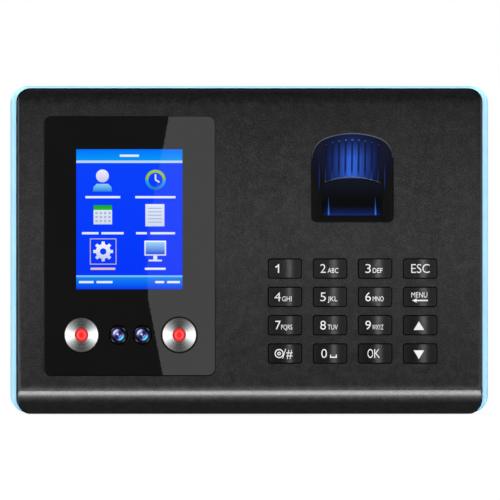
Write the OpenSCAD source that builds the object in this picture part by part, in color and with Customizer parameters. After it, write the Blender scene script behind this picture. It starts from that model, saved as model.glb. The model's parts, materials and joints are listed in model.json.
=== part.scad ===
/* [Front shell] */
// Width of the front shell
shell_w = 187.9; // [187.7:0.1:188.2]
// Height of the flat top edge above the centre
shell_high = 65; // [64.9:0.1:65.2]
// Height of the lower edge, below the centre
shell_low = -66.5; // [-67:0.1:-66]
// Depth of the front shell, front face to parting line
shell_d = 15; // [15:0.1:16]
// Wall thickness of both shells
wall = 2.2; // [2:0.1:2.4]
// Corner radius of the shell seen from the front
shell_corner_r = 5; // [4:0.5:6]
// Radius that rounds the top edge into the face
top_r = 6; // [5:0.5:6.5]
// Radius of the bend between the face and the chin
bend_r = 9; // [8:0.5:9.5]
// Height at which the chin bend starts
chin_top = -54.5; // [-54.8:0.1:-54]
// Turn of the chin away from the face, in degrees
chin_angle = 59; // [57:1:60]

/* [Trim frame and back cover] */
// Width of the coloured trim frame
trim_w = 194; // [192:1:196]
// Depth at which the trim frame ends
trim_d = 21; // [20.5:0.5:21]
// Width of the back cover
cover_w = 191; // [190:0.5:191]
// Depth of the rear face of the back cover
cover_d = 31.5; // [31.3:0.1:31.5]
// Whole depth, front face to wall
depth = 32; // [32:0.1:32.2]

/* [Lens panel and display] */
// Width of the glossy lens panel
lens_w = 69.4; // [68:0.1:69.5]
// Height of the glossy lens panel
lens_h = 105.2; // [104:0.1:105.5]
// Centre of the lens panel across the front
lens_x = -48.75; // [-49:0.05:-48.5]
// Height of the lens panel's centre
lens_z = 1.7; // [1.3:0.1:1.8]
// Height of the row of illuminators and cameras
eye_z = -34.4; // [-34.6:0.1:-34]
// Half the distance between the two illuminators
led_reach = 19.8; // [19.6:0.1:20]
// Half the distance between the two cameras
camera_reach = 4.85; // [4.8:0.05:4.95]

/* [Finger reader] */
// Centre of the finger recess across the front
finger_x = 41.5; // [41.3:0.1:41.8]
// Width of the finger recess
finger_w = 32.4; // [32.2:0.1:32.6]
// Lower edge of the finger recess
finger_low = 11.75; // [11.6:0.05:11.9]
// Height at which the sides of the recess end
finger_side = 37.2; // [37:0.1:37.4]
// Rise of the arch over the sides
finger_rise = 9.8; // [9.6:0.1:9.9]
// Lean of the reading window away from the face, in degrees
window_tilt = 21; // [20:0.5:22]

/* [Keypad] */
// Centre of the keypad across the front
keypad_x = 41.57; // [41.5:0.01:41.7]
// Height of the keypad's centre
keypad_z = -24.72; // [-24.8:0.01:-24.6]
// Distance between key columns
key_pitch_x = 18.25; // [18.2:0.05:18.3]
// Distance between key rows
key_pitch_z = 11.47; // [11.4:0.01:11.5]
// Width of a key's cap
key_w = 13.2; // [13:0.1:13.3]
// Height of a key's cap
key_h = 7.5; // [7.3:0.1:7.6]
// Travel of a key
key_travel = 0.9; // [0.7:0.1:0.9]

/* [Mounting] */
// Distance between the wall screws across
wall_pitch_x = 70; // [60:1:74]
// Distance between the wall screws in height
wall_pitch_z = 50; // [44:1:54]
// Diameter of the wall screw holes
wall_hole_d = 4.5; // [4:0.1:5]

/* [Hidden] */
$fn = 48;
KEYS = ["key_1", "key_2", "key_3", "key_esc", "key_4", "key_5", "key_6", "key_menu",
    "key_7", "key_8", "key_9", "key_up", "key_star", "key_0", "key_ok", "key_down"];

// Clearance between neighbouring pieces, and the overshoot of a cut
gap = 0.15;
cut = 1;
half_w = shell_w / 2;
mid_z = (shell_high + shell_low) / 2;
shell_h = shell_high - shell_low;

// Frame of the back cover: height range, floor and rear recess
cover_high = 65;
cover_low = -65.5;
cover_r = 6;
cover_floor = cover_d - wall;
recess_w = 120;
recess_h = 84;
recess_d = 26.5;
recess_floor = recess_d - 2;

// Trim frame: height range, opening and tongues that register in both shells
trim_high = 66.5;
trim_low = -66;
trim_r = 7;
tongue_in_x = 90.4;
tongue_low = -62;
tongue_high = 61.5;
tongue_d = 2;

// Gasket between the front shell and the trim frame, seen as a dark line
gasket_w = 189.3;
gasket_high = 65.7;
gasket_t = 0.8;
gasket_r = 5.7;
gasket_gap = 0.05;

// Case screws and the posts that take them
post_x = 86.4;
post_z = [57, 2, -55];
post_r = 3.2;
post_end = 18;
boss_r = 3.7;
case_screw_r = 1.45;
sink_d = 28.5;

// Layers behind the face
lens_front = 0.1;
lens_back = 1.7;
ledge_front = 1.9;
ledge_back = 3.4;
lcd_front = 2.1;
lcd_back = 5.8;
holder_back = 7;
eye_board_front = 9.4;
eye_board_back = 10.6;
key_board_front = 7.4;
key_board_back = 9;
main_front = 21.4;
main_back = 23;

// Display module: outline and offset of its centre
lcd_w = 50;
lcd_h = 69.2;
lcd_z = 10.1;
lcd_wall = 0.6;
holder_post_x = 29.5;
holder_post_z = [36, -14];

// Illuminators and cameras
eye_x = lens_x + 0.3;
reflector_r = 6.9;
reflector_hole_r = 7.4;
dish_r = 6.75;
dish_back = 1.9;
dish_hole_r = 2.65;
diode_r = 2.5;
camera_hole_r = 4.1;
camera_r = 3.5;
camera_lens_r = 2.55;
eye_board_w = 65;
eye_board_h = 21;
eye_post_dx = 29.5;
eye_post_dz = 7.9;

// Keypad pieces
key_crown = 1.2;
key_edge = 0.3;
key_hole_gap = 0.4;
flange_front = 2.5;
flange_back = 3.3;
flange_lip = 1.1;
stem_r = 2;
stem_back = 5;
mat_front = 6.6;
key_board_low = -55.5;
key_board_high = 5.5;
key_board_left = 4;
key_board_right = 80;
key_post_x = [9, 75];
key_post_z = [2.5, -52.5];
small_post_r = 2.2;
small_screw_r = 0.95;

// Reading window: lower edge, half width and upper crown, and the guide's lip around it
window_low = 14;
window_low_d = 6.5;
window_half = 12.4;
window_side = 13.8;
window_rise = 2.8;
window_lip = 0.08;
guide_wall = 1.5;
flute_count = 9;
flute_pitch = 2.66;
flute_r = 0.45;
flute_start = 3;

// Arcs of the recess arch (two shoulders and a crown sunk a little into them) and of the window
shoulder_r = 8.4;
crown_sink = 0.02;
shoulder_x = finger_w / 2 - shoulder_r;
arch_crown_r = (shoulder_x * shoulder_x + finger_rise * finger_rise - shoulder_r * shoulder_r)
    / (2 * (finger_rise - shoulder_r));
arch_crown_z = finger_side + finger_rise - arch_crown_r;
window_crown_r = (window_half * window_half + window_rise * window_rise) / (2 * window_rise);

// Main board
main_w = 120;
main_low = -61;
main_high = 0;
main_post_x = 57;
main_post_z = [-4, -57];

// Sockets in the lower edge
jack_x = -30;
jack_d = 25.2;
jack_mouth_r = 3.15;
jack_nose_r = 3.7;
jack_pin_r = 1;
usb_x = 5;
usb_w = 13.1;
usb_t = 5.7;
usb_front = 23.1;
socket_low = -65.4;

// Speaker
speaker_x = -77;
speaker_z = 30;
speaker_r = 14;
speaker_front = 23.8;

// Wall bracket
bracket_w = 110;
bracket_low = -41;
bracket_high = 38;
bracket_t = 1.5;
hook_x = 35;
hook_w = 12;
lock_x = 35;
lock_d = 29;

// A flat shape in (x, z), made a plate between two depths behind the front face
module plate(d0, d1) {
    translate([0, d1 - depth, 0]) rotate([90, 0, 0]) linear_extrude(d1 - d0) children();
}

// A round bar that runs front to back
module rod(x, z, d0, d1, r) {
    translate([x, d1 - depth, z]) rotate([90, 0, 0]) cylinder(h = d1 - d0, r = r);
}

// A cone that runs front to back
module taper(x, z, d0, d1, r0, r1) {
    translate([x, d1 - depth, z]) rotate([90, 0, 0]) cylinder(h = d1 - d0, r1 = r1, r2 = r0);
}

// A box given by its two corners in x, depth and z
module block(x0, x1, d0, d1, z0, z1) {
    translate([x0, d0 - depth, z0]) cube([x1 - x0, d1 - d0, z1 - z0]);
}

// A flat shape in (depth, z), extruded across the width
module across(w) {
    translate([-w / 2, -depth, 0]) rotate([90, 0, 90]) linear_extrude(w) children();
}

// A flat shape in (x, depth), extruded over a height
module upward(z0, z1) {
    translate([0, -depth, z0]) linear_extrude(z1 - z0) children();
}

// A rectangle with round corners, given by its centre and size
module rounded(x, z, w, h, r) {
    translate([x, z]) {
        square([w - 2 * r, h], center = true);
        square([w, h - 2 * r], center = true);
        for (sx = [-1, 1], sz = [-1, 1])
            translate([sx * (w / 2 - r), sz * (h / 2 - r)]) circle(r);
    }
}

// Side section of the front shell in (depth, z), inset by a wall
module shell_section(inset, back) {
    r = bend_r - inset;
    low = shell_low + inset;
    bend_d = bend_r - r * cos(chin_angle);
    bend_z = chin_top - r * sin(chin_angle);
    chin_d = bend_d + (bend_z - low) * tan(chin_angle);
    intersection() {
        union() {
            polygon([[inset, shell_high - top_r], [inset, chin_top], [bend_d, bend_z],
                [chin_d, low], [back, low], [back, shell_high - inset],
                [top_r, shell_high - inset]]);
            translate([top_r, shell_high - top_r]) circle(top_r - inset);
            translate([bend_r, chin_top]) circle(r);
        }
        translate([inset, low]) square([back - inset, shell_high - inset - low]);
    }
}

// Solid body of the front shell, or of its inside
module shell_body(inset, back, side_r) {
    w = shell_w - 2 * inset;
    intersection() {
        across(w + 2) shell_section(inset, back);
        plate(inset - cut, back + cut)
            rounded(0, mid_z, w, shell_h - 2 * inset, shell_corner_r - inset);
        if (side_r > 0)
            upward(shell_low - cut, shell_high + cut) front_plan(w, back, side_r);
    }
}

// Plan section with its two front corners rounded
module front_plan(w, back, r) {
    translate([-w / 2, r]) square([w, back + cut - r]);
    translate([-w / 2 + r, 0]) square([w - 2 * r, back]);
    for (side = [-1, 1]) translate([side * (w / 2 - r), r]) circle(r);
}

// Outline of the finger recess or of a layer that follows it, widened by grow
module arch(grow) {
    half = finger_w / 2;
    share = (arch_crown_r + grow) / (arch_crown_r - shoulder_r);
    touch_x = shoulder_x * share;
    touch_z = arch_crown_z + (finger_side - arch_crown_z) * share;
    base_r = 1.5 + grow;
    inset = 1;
    translate([finger_x, 0]) {
        polygon([[-half - grow, finger_low + 1.5], [half + grow, finger_low + 1.5],
            [half + grow, finger_side], [touch_x - inset, touch_z - inset],
            [inset - touch_x, touch_z - inset], [-half - grow, finger_side]]);
        for (side = [-1, 1]) {
            translate([side * shoulder_x, finger_side]) circle(shoulder_r + grow);
            translate([side * (half - 1.5), finger_low + 1.5]) circle(base_r);
        }
        translate([-half + 1.5, finger_low - grow]) square([finger_w - 3, 4]);
        intersection() {
            translate([0, arch_crown_z - crown_sink]) circle(arch_crown_r + grow);
            translate([-touch_x, touch_z - 3 * inset]) square([2 * touch_x, 20]);
        }
    }
}

// Places its children where the reading window lies: x across, y up the window
module at_window() {
    translate([finger_x, window_low_d - depth, window_low])
        rotate([90 - window_tilt, 0, 0]) children();
}

// Outline of the reading window, widened by grow
module window_outline(grow) {
    half = window_half + grow;
    top = window_side + window_rise + grow;
    r = (half * half + window_rise * window_rise) / (2 * window_rise);
    intersection() {
        translate([-half, -grow]) square([2 * half, top]);
        translate([0, top - r]) circle(r);
    }
}

// Centre of a key, from its place in the list: rows of four, from the top left
function key_x(i) = keypad_x + (i % 4 - 1.5) * key_pitch_x;
function key_z(i) = keypad_z + (1.5 - floor(i / 4)) * key_pitch_z;

module front_shell() {
    color("#2b2b2d") difference() {
        union() {
            difference() {
                shell_body(0, shell_d, 1.6);
                shell_body(wall, shell_d + cut, 0);
            }
            // Ledge that carries the lens panel
            plate(wall - 0.2, ledge_back) rounded(lens_x, lens_z, lens_w + 4, lens_h + 4, 4);
            // Posts for the case screws
            for (side = [-1, 1], z = post_z)
                rod(side * post_x, z, wall - 0.2, post_end, post_r);
            // Posts for the keypad board, the display holder and the camera board
            for (x = key_post_x, z = key_post_z)
                rod(x, z, wall - 0.2, key_board_front, small_post_r);
            for (side = [-1, 1], z = holder_post_z)
                rod(lens_x + side * holder_post_x, z, ledge_back - 0.2, lcd_back, small_post_r);
            for (side = [-1, 1], dz = [-1, 1])
                rod(lens_x + side * eye_post_dx, eye_z + dz * eye_post_dz, ledge_back - 0.2,
                    eye_board_front, small_post_r);
        }
        // Recess of the lens panel and the windows through its ledge
        plate(-cut, ledge_front)
            rounded(lens_x, lens_z, lens_w + 2 * gap, lens_h + 2 * gap, 3 + gap);
        plate(0, ledge_back + cut) rounded(lens_x, lcd_z, lcd_w + 0.6, lcd_h + 0.6, 0.8);
        for (side = [-1, 1]) {
            rod(eye_x + side * led_reach, eye_z, 0, ledge_back + cut, reflector_hole_r - 0.2);
            rod(eye_x + side * camera_reach, eye_z, 0, ledge_back + cut, camera_hole_r);
        }
        // Finger recess and key holes
        plate(-cut, wall + cut) arch(0.6);
        for (i = [0:15])
            plate(-cut, wall + cut) rounded(key_x(i), key_z(i), key_w + 2 * key_hole_gap,
                key_h + 2 * key_hole_gap, 1.2);
        // Pilot holes
        for (side = [-1, 1], z = post_z)
            rod(side * post_x, z, 8, post_end + cut, case_screw_r + 0.05);
        for (x = key_post_x, z = key_post_z)
            rod(x, z, wall + 0.6, key_board_front + cut, small_screw_r + 0.05);
        for (side = [-1, 1], z = holder_post_z)
            rod(lens_x + side * holder_post_x, z, ledge_front + 0.6, lcd_back + cut,
                small_screw_r + 0.05);
        for (side = [-1, 1], dz = [-1, 1])
            rod(lens_x + side * eye_post_dx, eye_z + dz * eye_post_dz, ledge_back,
                eye_board_front + cut, small_screw_r + 0.05);
    }
}

// Plan or side section of a ring with round outer edges
module edge_section(lo, hi, d0, d1, r) {
    translate([lo, d0 + r]) square([hi - lo, d1 - d0 - 2 * r]);
    translate([lo + r, d0]) square([hi - lo - 2 * r, d1 - d0]);
    for (a = [lo + r, hi - r], d = [d0 + r, d1 - r]) translate([a, d]) circle(r);
}

module trim_frame() {
    edge_r = 1.5;
    trim_mid = (trim_high + trim_low) / 2;
    tongue_h = tongue_high - tongue_low;
    tongue_mid = (tongue_high + tongue_low) / 2;
    color("#9fdcff") difference() {
        union() {
            intersection() {
                plate(shell_d, trim_d)
                    rounded(0, trim_mid, trim_w, trim_high - trim_low, trim_r);
                upward(trim_low - cut, trim_high + cut)
                    edge_section(-trim_w / 2, trim_w / 2, shell_d, trim_d, edge_r);
                across(trim_w + 2) mirror([1, -1])
                    edge_section(trim_low, trim_high, shell_d, trim_d, edge_r);
            }
            plate(shell_d - tongue_d, shell_d + edge_r) rounded(0, mid_z,
                shell_w - 2 * wall - 0.2, shell_h - 2 * wall - 0.2, 2.7);
            plate(trim_d - edge_r, trim_d + tongue_d) rounded(0, (cover_high + cover_low) / 2,
                cover_w - 2 * wall - 0.2, cover_high - cover_low - 2 * wall - 0.2, 3.7);
        }
        plate(shell_d - tongue_d - cut, trim_d + tongue_d + cut)
            rounded(0, tongue_mid, 2 * tongue_in_x, tongue_h, 2);
        // Notch for the power socket
        block(jack_x - 5, jack_x + 5, main_front - 0.4, trim_d + tongue_d + cut,
            trim_low, tongue_low + cut);
    }
}

// Rubber strip along the sides and the top, between the shell's rear edge and the trim frame
module trim_gasket() {
    color("#0a0a0a") difference() {
        plate(shell_d - gasket_t, shell_d) rounded(0, (gasket_high + trim_low) / 2, gasket_w,
            gasket_high - trim_low, gasket_r);
        plate(0, shell_d + cut) rounded(0, mid_z, shell_w + 2 * gasket_gap,
            shell_h + 2 * gasket_gap, shell_corner_r + gasket_gap);
    }
}

module back_cover() {
    edge_r = 2.5;
    h = cover_high - cover_low;
    mid = (cover_high + cover_low) / 2;
    lug_x0 = lock_x - 5;
    lug_x1 = lock_x + 5;
    color("#1d1e20") difference() {
        union() {
            difference() {
                intersection() {
                    plate(trim_d, cover_d) rounded(0, mid, cover_w, h, cover_r);
                    upward(cover_low - cut, cover_high + cut)
                        edge_section(-cover_w / 2, cover_w / 2, trim_d - 6, cover_d, edge_r);
                    across(cover_w + 2) mirror([1, -1])
                        edge_section(cover_low, cover_high, trim_d - 6, cover_d, edge_r);
                }
                plate(trim_d - cut, cover_floor)
                    rounded(0, mid, cover_w - 2 * wall, h - 2 * wall, cover_r - wall);
            }
            // Inner side of the bracket recess and of the lock screw channel
            block(-recess_w / 2 - wall, recess_w / 2 + wall, recess_floor, cover_floor + 0.5,
                -recess_h / 2 - wall, recess_h / 2 + wall);
            block(lug_x0 - wall, lug_x1 + wall, recess_floor, cover_floor + 0.5,
                cover_low + 1.5, -recess_h / 2);
            // Bosses of the case screws
            for (side = [-1, 1], z = post_z)
                rod(side * post_x, z, post_end + 0.1, cover_d - 0.6, boss_r);
            // Standoffs of the main board
            for (side = [-1, 1])
                rod(side * main_post_x, main_post_z[0], main_back, recess_floor + 0.5, 3);
            for (side = [-1, 1])
                rod(side * main_post_x, main_post_z[1], main_back, cover_floor + 0.5, 3);
            // Seat ring of the speaker
            difference() {
                rod(speaker_x, speaker_z, 26, cover_floor + 0.5, speaker_r + 1.8);
                rod(speaker_x, speaker_z, 25, cover_floor + cut, speaker_r + 0.2);
            }
        }
        // Rear recess and the channel that leads to the lock screw
        plate(recess_d, cover_d + cut) rounded(0, 0, recess_w, recess_h, 3);
        block(lug_x0, lug_x1, recess_d, cover_d + cut, cover_low - cut, -recess_h / 2 - wall);
        translate([lock_x, lock_d - depth, -recess_h / 2 - wall - cut])
            cylinder(h = wall + 2 * cut, r = 1.7);
        // Slots for the hooks of the bracket
        for (side = [-1, 1])
            block(side * hook_x - hook_w / 2 - 0.8, side * hook_x + hook_w / 2 + 0.8,
                28, 30.6, recess_h / 2 - cut, recess_h / 2 + 3.4);
        // Screw holes with deep counterbores
        for (side = [-1, 1], z = post_z) {
            rod(side * post_x, z, post_end - cut, cover_d + cut, case_screw_r + 0.2);
            rod(side * post_x, z, sink_d, cover_d + cut, 3.1);
        }
        for (side = [-1, 1], z = main_post_z)
            rod(side * main_post_x, z, main_back - cut, recess_floor - 0.4, small_screw_r + 0.05);
        // Speaker grille: three rings of round holes
        rod(speaker_x, speaker_z, cover_floor - cut, cover_d + cut, 1);
        for (ring = [1:3], i = [0:ring * 6 - 1])
            rod(speaker_x + ring * 3.4 * cos(i * 60 / ring), speaker_z
                + ring * 3.4 * sin(i * 60 / ring), cover_floor - cut, cover_d + cut, 1);
        // Socket openings in the lower wall
        translate([jack_x, jack_d - depth, cover_low - cut]) cylinder(h = wall + 2, r = jack_nose_r + gap);
        block(usb_x - usb_w / 2 - 0.2, usb_x + usb_w / 2 + 0.2, usb_front - 0.2,
            usb_front + usb_t + 0.2, cover_low - cut, cover_low + wall + cut);
    }
}

module wall_bracket() {
    back = depth;
    color("#b9bcc0") difference() {
        union() {
            plate(back - bracket_t, back)
                rounded(0, (bracket_low + bracket_high) / 2, bracket_w,
                    bracket_high - bracket_low, 3);
            // Hooks that reach up into the cover
            for (side = [-1, 1]) {
                block(side * hook_x - hook_w / 2, side * hook_x + hook_w / 2, 28.6, back,
                    bracket_high - 4, bracket_high - 2.5);
                block(side * hook_x - hook_w / 2, side * hook_x + hook_w / 2, 28.6, 30.1,
                    bracket_high - 4, recess_h / 2 + 2);
            }
            // Flange that takes the lock screw
            block(lock_x - 6, lock_x + 6, 26.9, back, bracket_low, bracket_low + bracket_t);
        }
        for (sx = [-1, 1], sz = [-1, 1])
            rod(sx * wall_pitch_x / 2, sz * wall_pitch_z / 2, back - bracket_t - cut, back + cut,
                wall_hole_d / 2);
        // Keyhole and cable slots
        for (side = [-1, 1]) plate(back - bracket_t - cut, back + cut) {
            rounded(side * 16, 0, 5, 22, 2.49);
            rounded(side * 48, 0, 4, 30, 1.99);
        }
        plate(back - bracket_t - cut, back + cut) rounded(0, 0, 14, 18, 3);
        translate([lock_x, lock_d - depth, bracket_low - cut])
            cylinder(h = bracket_t + 2 * cut, r = 1.55);
    }
}

module bracket_screw() {
    head_z = -recess_h / 2 - wall;
    color("silver") translate([lock_x, lock_d - depth, head_z]) difference() {
        union() {
            translate([0, 0, -2]) cylinder(h = 2, r = 2.4);
            cylinder(h = 8, r = 1.5);
        }
        cross_slot(-2, 1.2, 2.6);
    }
}

// Cross recess of a screw, cut upward from z over the depth deep
module cross_slot(z, deep, span) {
    for (turn = [0, 90]) rotate([0, 0, turn])
        translate([-span / 2, -0.35, z - cut]) cube([span, 0.7, deep + cut]);
}

// A screw that runs front to back, with its head at the rear
module rear_screw(x, z, tip, seat, head_h, head_r, shank_r) {
    translate([x, seat - depth, z]) rotate([-90, 0, 0]) difference() {
        union() {
            translate([0, 0, tip - seat]) cylinder(h = seat - tip, r = shank_r);
            cylinder(h = head_h, r = head_r);
        }
        rotate([180, 0, 0]) cross_slot(-head_h, 0.7 * head_h, 1.3 * head_r);
    }
}

module housing_screws() {
    color("silver") for (side = [-1, 1], z = post_z)
        rear_screw(side * post_x, z, 9.5, sink_d, 2, 2.8, case_screw_r);
}

module board_screws() {
    color("silver") {
        for (x = key_post_x, z = key_post_z)
            rear_screw(x, z, 3.2, key_board_back, 1.2, 1.9, small_screw_r);
        for (side = [-1, 1], z = holder_post_z)
            rear_screw(lens_x + side * holder_post_x, z, 3, holder_back, 1.2, 1.9, small_screw_r);
        for (side = [-1, 1], dz = [-1, 1])
            rear_screw(lens_x + side * eye_post_dx, eye_z + dz * eye_post_dz, 4,
                eye_board_back, 1.2, 1.9, small_screw_r);
        for (side = [-1, 1], z = main_post_z)
            mirror([0, 1, 0]) translate([0, 2 * (depth - main_front), 0])
                rear_screw(side * main_post_x, z, main_front - 2.4, main_front, 1.2, 1.9,
                    small_screw_r);
    }
}

module lens_panel() {
    color("#111113") difference() {
        plate(lens_front, lens_back) rounded(lens_x, lens_z, lens_w, lens_h, 3);
        for (side = [-1, 1]) {
            rod(eye_x + side * led_reach, eye_z, -cut, lens_back + cut, reflector_hole_r);
            rod(eye_x + side * camera_reach, eye_z, -cut, lens_back + cut, camera_hole_r);
        }
    }
}

module lens_gasket() {
    color("#3a3a3a") difference() {
        plate(lens_back, ledge_front) rounded(lens_x, lens_z, lens_w, lens_h, 3);
        plate(0, ledge_back) rounded(lens_x, lcd_z, lcd_w + 0.6, lcd_h + 0.6, 0.8);
        for (side = [-1, 1]) {
            rod(eye_x + side * led_reach, eye_z, 0, ledge_back, reflector_r + 0.1);
            rod(eye_x + side * camera_reach, eye_z, 0, ledge_back, camera_r + 0.1);
        }
    }
}

module lcd_panel() {
    color("#0a32ff") plate(lcd_front, lcd_front + 1.4)
        rounded(lens_x, lcd_z, lcd_w - 2 * lcd_wall - 0.2, lcd_h - 2 * lcd_wall - 0.2, 0.4);
}

module lcd_frame() {
    color("#d9d9d6") difference() {
        plate(lcd_front, lcd_back) rounded(lens_x, lcd_z, lcd_w, lcd_h, 0.7);
        plate(lcd_front - cut, lcd_front + 1.4)
            rounded(lens_x, lcd_z, lcd_w - 2 * lcd_wall, lcd_h - 2 * lcd_wall, 0.4);
    }
}

module lcd_holder() {
    window_w = 38;
    window_h = 44;
    color("#5c5f63") difference() {
        union() {
            plate(lcd_back, holder_back) rounded(lens_x, 11, lcd_w, 62, 2);
            for (z = holder_post_z)
                plate(lcd_back, holder_back)
                    rounded(lens_x, z, 2 * holder_post_x + 6, 7, 3);
        }
        plate(lcd_back - cut, holder_back + cut) rounded(lens_x, 11, window_w, window_h, 2);
        for (side = [-1, 1], z = holder_post_z)
            rod(lens_x + side * holder_post_x, z, lcd_back - cut, holder_back + cut,
                small_screw_r + 0.2);
    }
}

module lcd_flex() {
    flex_w = 18;
    x0 = lens_x - flex_w / 2;
    color("#c98a2e") {
        block(x0, x0 + flex_w, lcd_back, lcd_back + 0.25, -9.4, 6);
        block(x0, x0 + flex_w, lcd_back, main_front - 2.2, -9.65, -9.4);
    }
}

// Lathe-turned reflector of an infrared illuminator
module ir_reflector(side) {
    x = eye_x + side * led_reach;
    color("#c8ccd0") difference() {
        union() {
            rod(x, eye_z, lens_front, eye_board_front, reflector_r);
            rod(x, eye_z, ledge_back, ledge_back + 1.2, 8.2);
        }
        taper(x, eye_z, lens_front - 0.01, dish_back, dish_r, dish_hole_r + 0.1);
        rod(x, eye_z, dish_back - 0.1, 6, dish_hole_r);
        rod(x, eye_z, 5.6, eye_board_front + cut, 5.5);
    }
}
module ir_reflector_left() { ir_reflector(-1); }
module ir_reflector_right() { ir_reflector(1); }

// Dome-topped diode that shines through the hole of its reflector
module ir_led(side) {
    x = eye_x + side * led_reach;
    color("#d01818") {
        rod(x, eye_z, 3.2, eye_board_front - 0.8, diode_r);
        translate([x, 3.2 - depth, eye_z]) sphere(diode_r);
        rod(x, eye_z, eye_board_front - 1, eye_board_front, 2.9);
    }
}
module ir_led_left() { ir_led(-1); }
module ir_led_right() { ir_led(1); }

module camera_barrel(side) {
    x = eye_x + side * camera_reach;
    color("#17181b") difference() {
        union() {
            rod(x, eye_z, 0.5, 5.2, camera_r);
            block(x - 4.25, x + 4.25, 5, eye_board_front, eye_z - 4.25, eye_z + 4.25);
        }
        taper(x, eye_z, 0.49, 1.3, camera_lens_r + 0.5, camera_lens_r + 0.05);
        rod(x, eye_z, 1.2, 8, camera_lens_r + 0.05);
    }
}
module camera_barrel_left() { camera_barrel(-1); }
module camera_barrel_right() { camera_barrel(1); }

// Glass of a camera, with a domed front
module camera_lens(side) {
    x = eye_x + side * camera_reach;
    dome_r = 4.2;
    color("#2a2f6e") intersection() {
        rod(x, eye_z, 1.2, 4, camera_lens_r);
        translate([x, 1.4 + dome_r - depth, eye_z]) sphere(dome_r);
    }
}
module camera_lens_left() { camera_lens(-1); }
module camera_lens_right() { camera_lens(1); }

module camera_board() {
    x0 = lens_x - eye_board_w / 2;
    color("#1f5a33") difference() {
        plate(eye_board_front, eye_board_back)
            rounded(lens_x, eye_z, eye_board_w, eye_board_h, 1.5);
        for (side = [-1, 1], dz = [-1, 1])
            rod(lens_x + side * eye_post_dx, eye_z + dz * eye_post_dz, eye_board_front - cut,
                eye_board_back + cut, small_screw_r + 0.2);
    }
    color("#202022") block(x0 + 26, x0 + 39, eye_board_back, eye_board_back + 2.2,
        eye_z - 3, eye_z + 3);
}

module camera_cable() {
    x0 = lens_x - 2;
    color("#2f2f33") block(x0 - 4, x0 + 4, eye_board_back + 2.2, main_front - 2.2,
        eye_z - 0.4, eye_z + 0.4);
}

module finger_guide() {
    collar_front = 0.1;
    color("#0c0c10") difference() {
        union() {
            plate(collar_front, wall + 0.3) arch(0.45);
            plate(wall + 0.1, wall + 1.6) arch(3);
            hull() {
                plate(wall + 1.4, wall + 1.6) arch(guide_wall);
                at_window() translate([0, 0, -0.6])
                    linear_extrude(0.6) window_outline(guide_wall);
            }
        }
        hull() {
            plate(collar_front - 0.2, collar_front) arch(0);
            at_window() linear_extrude(0.1) window_outline(0);
        }
        at_window() translate([0, 0, -2]) linear_extrude(2.1) window_outline(-window_lip);
        // Upright grooves in the upper slope
        for (i = [0:flute_count - 1]) flute((i - (flute_count - 1) / 2) * flute_pitch);
    }
}

// Height of the recess arch, and distance up the window to its crown, x from the centre
function arch_height(x) = arch_crown_z + sqrt(arch_crown_r * arch_crown_r - x * x);
function window_reach(x) = window_side + window_rise - window_crown_r
    + sqrt(window_crown_r * window_crown_r - x * x);

// One groove of the upper slope, from near the arch down to the window
module flute(x) {
    reach = window_reach(x);
    fall_d = window_low_d + reach * sin(window_tilt);
    fall_z = arch_height(x) - window_low - reach * cos(window_tilt);
    length = sqrt(fall_d * fall_d + fall_z * fall_z);
    translate([finger_x + x, -depth, arch_height(x)]) rotate([atan2(fall_d, fall_z), 0, 0])
        mirror([0, 0, 1]) translate([0, 0, flute_start]) {
            cylinder(h = length - flute_start + 0.4, r = flute_r);
            sphere(flute_r);
        }
}

// Places its children on the reading window, with z as the depth behind it
module behind_window(t0, t1) {
    at_window() translate([0, window_side / 2 + 1.5, -t1]) linear_extrude(t1 - t0) children();
}

module sensor_prism() {
    color("#0d1440") behind_window(0.7, 2.6) rounded(0, 0, 29, 19.4, 1);
}

module sensor_light_guides() {
    color("#3c78ff") for (side = [-1, 1])
        at_window() translate([side * 9.5 - 0.45, 0.4, -0.65]) cube([0.9, 8, 1.4]);
}

module sensor_housing() {
    color("#24262b") difference() {
        behind_window(2.7, 8) rounded(0, 0, 31, 21, 1.5);
        behind_window(2.6, 6) rounded(0, 0, 24, 15, 1);
    }
}

module sensor_board() {
    color("#1f5a33") behind_window(8, 9.4) rounded(0, 0, 32, 22, 1);
    color("#202022") behind_window(9.4, 11) rounded(0, 2, 8, 8, 0.2);
}

// Ribbon from the lower rear edge of the sensor board down to its plug on the main board
module sensor_ribbon() {
    x0 = finger_x - 7;
    x1 = finger_x + 7;
    top = 9.3;
    board_rear = 14.8;
    plug_d = main_front - 2.2;
    color("#d8d8d8") {
        block(x0, x1, board_rear, plug_d, top - 0.4, top);
        block(x0, x1, plug_d, plug_d + 0.4, -8, top);
    }
}

// One key: a barrel-shaped cap, a retaining flange and a stem
module key(i) {
    x = key_x(i);
    z = key_z(i);
    sag = key_crown - key_edge;
    crown_r = (key_w * key_w / 4 + sag * sag) / (2 * sag);
    color("#0d0d0f") {
        intersection() {
            plate(-key_crown - cut, flange_back) rounded(x, z, key_w, key_h, 1);
            translate([x, crown_r - key_crown - depth, z - key_h])
                cylinder(h = 2 * key_h, r = crown_r, $fn = 96);
        }
        plate(flange_front, flange_back)
            rounded(x, z, key_w + 2 * flange_lip, key_h + 2 * flange_lip, 1.4);
        rod(x, z, flange_back - 0.1, stem_back, stem_r);
    }
}

// Silicone mat with a dome under every key
module keypad_membrane() {
    color("#9a9da0") {
        plate(mat_front, key_board_front) rounded(keypad_x, keypad_z, 72, 46, 2);
        for (i = [0:15])
            taper(key_x(i), key_z(i), stem_back, mat_front + 0.1, 2.4, 4);
    }
}

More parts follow.
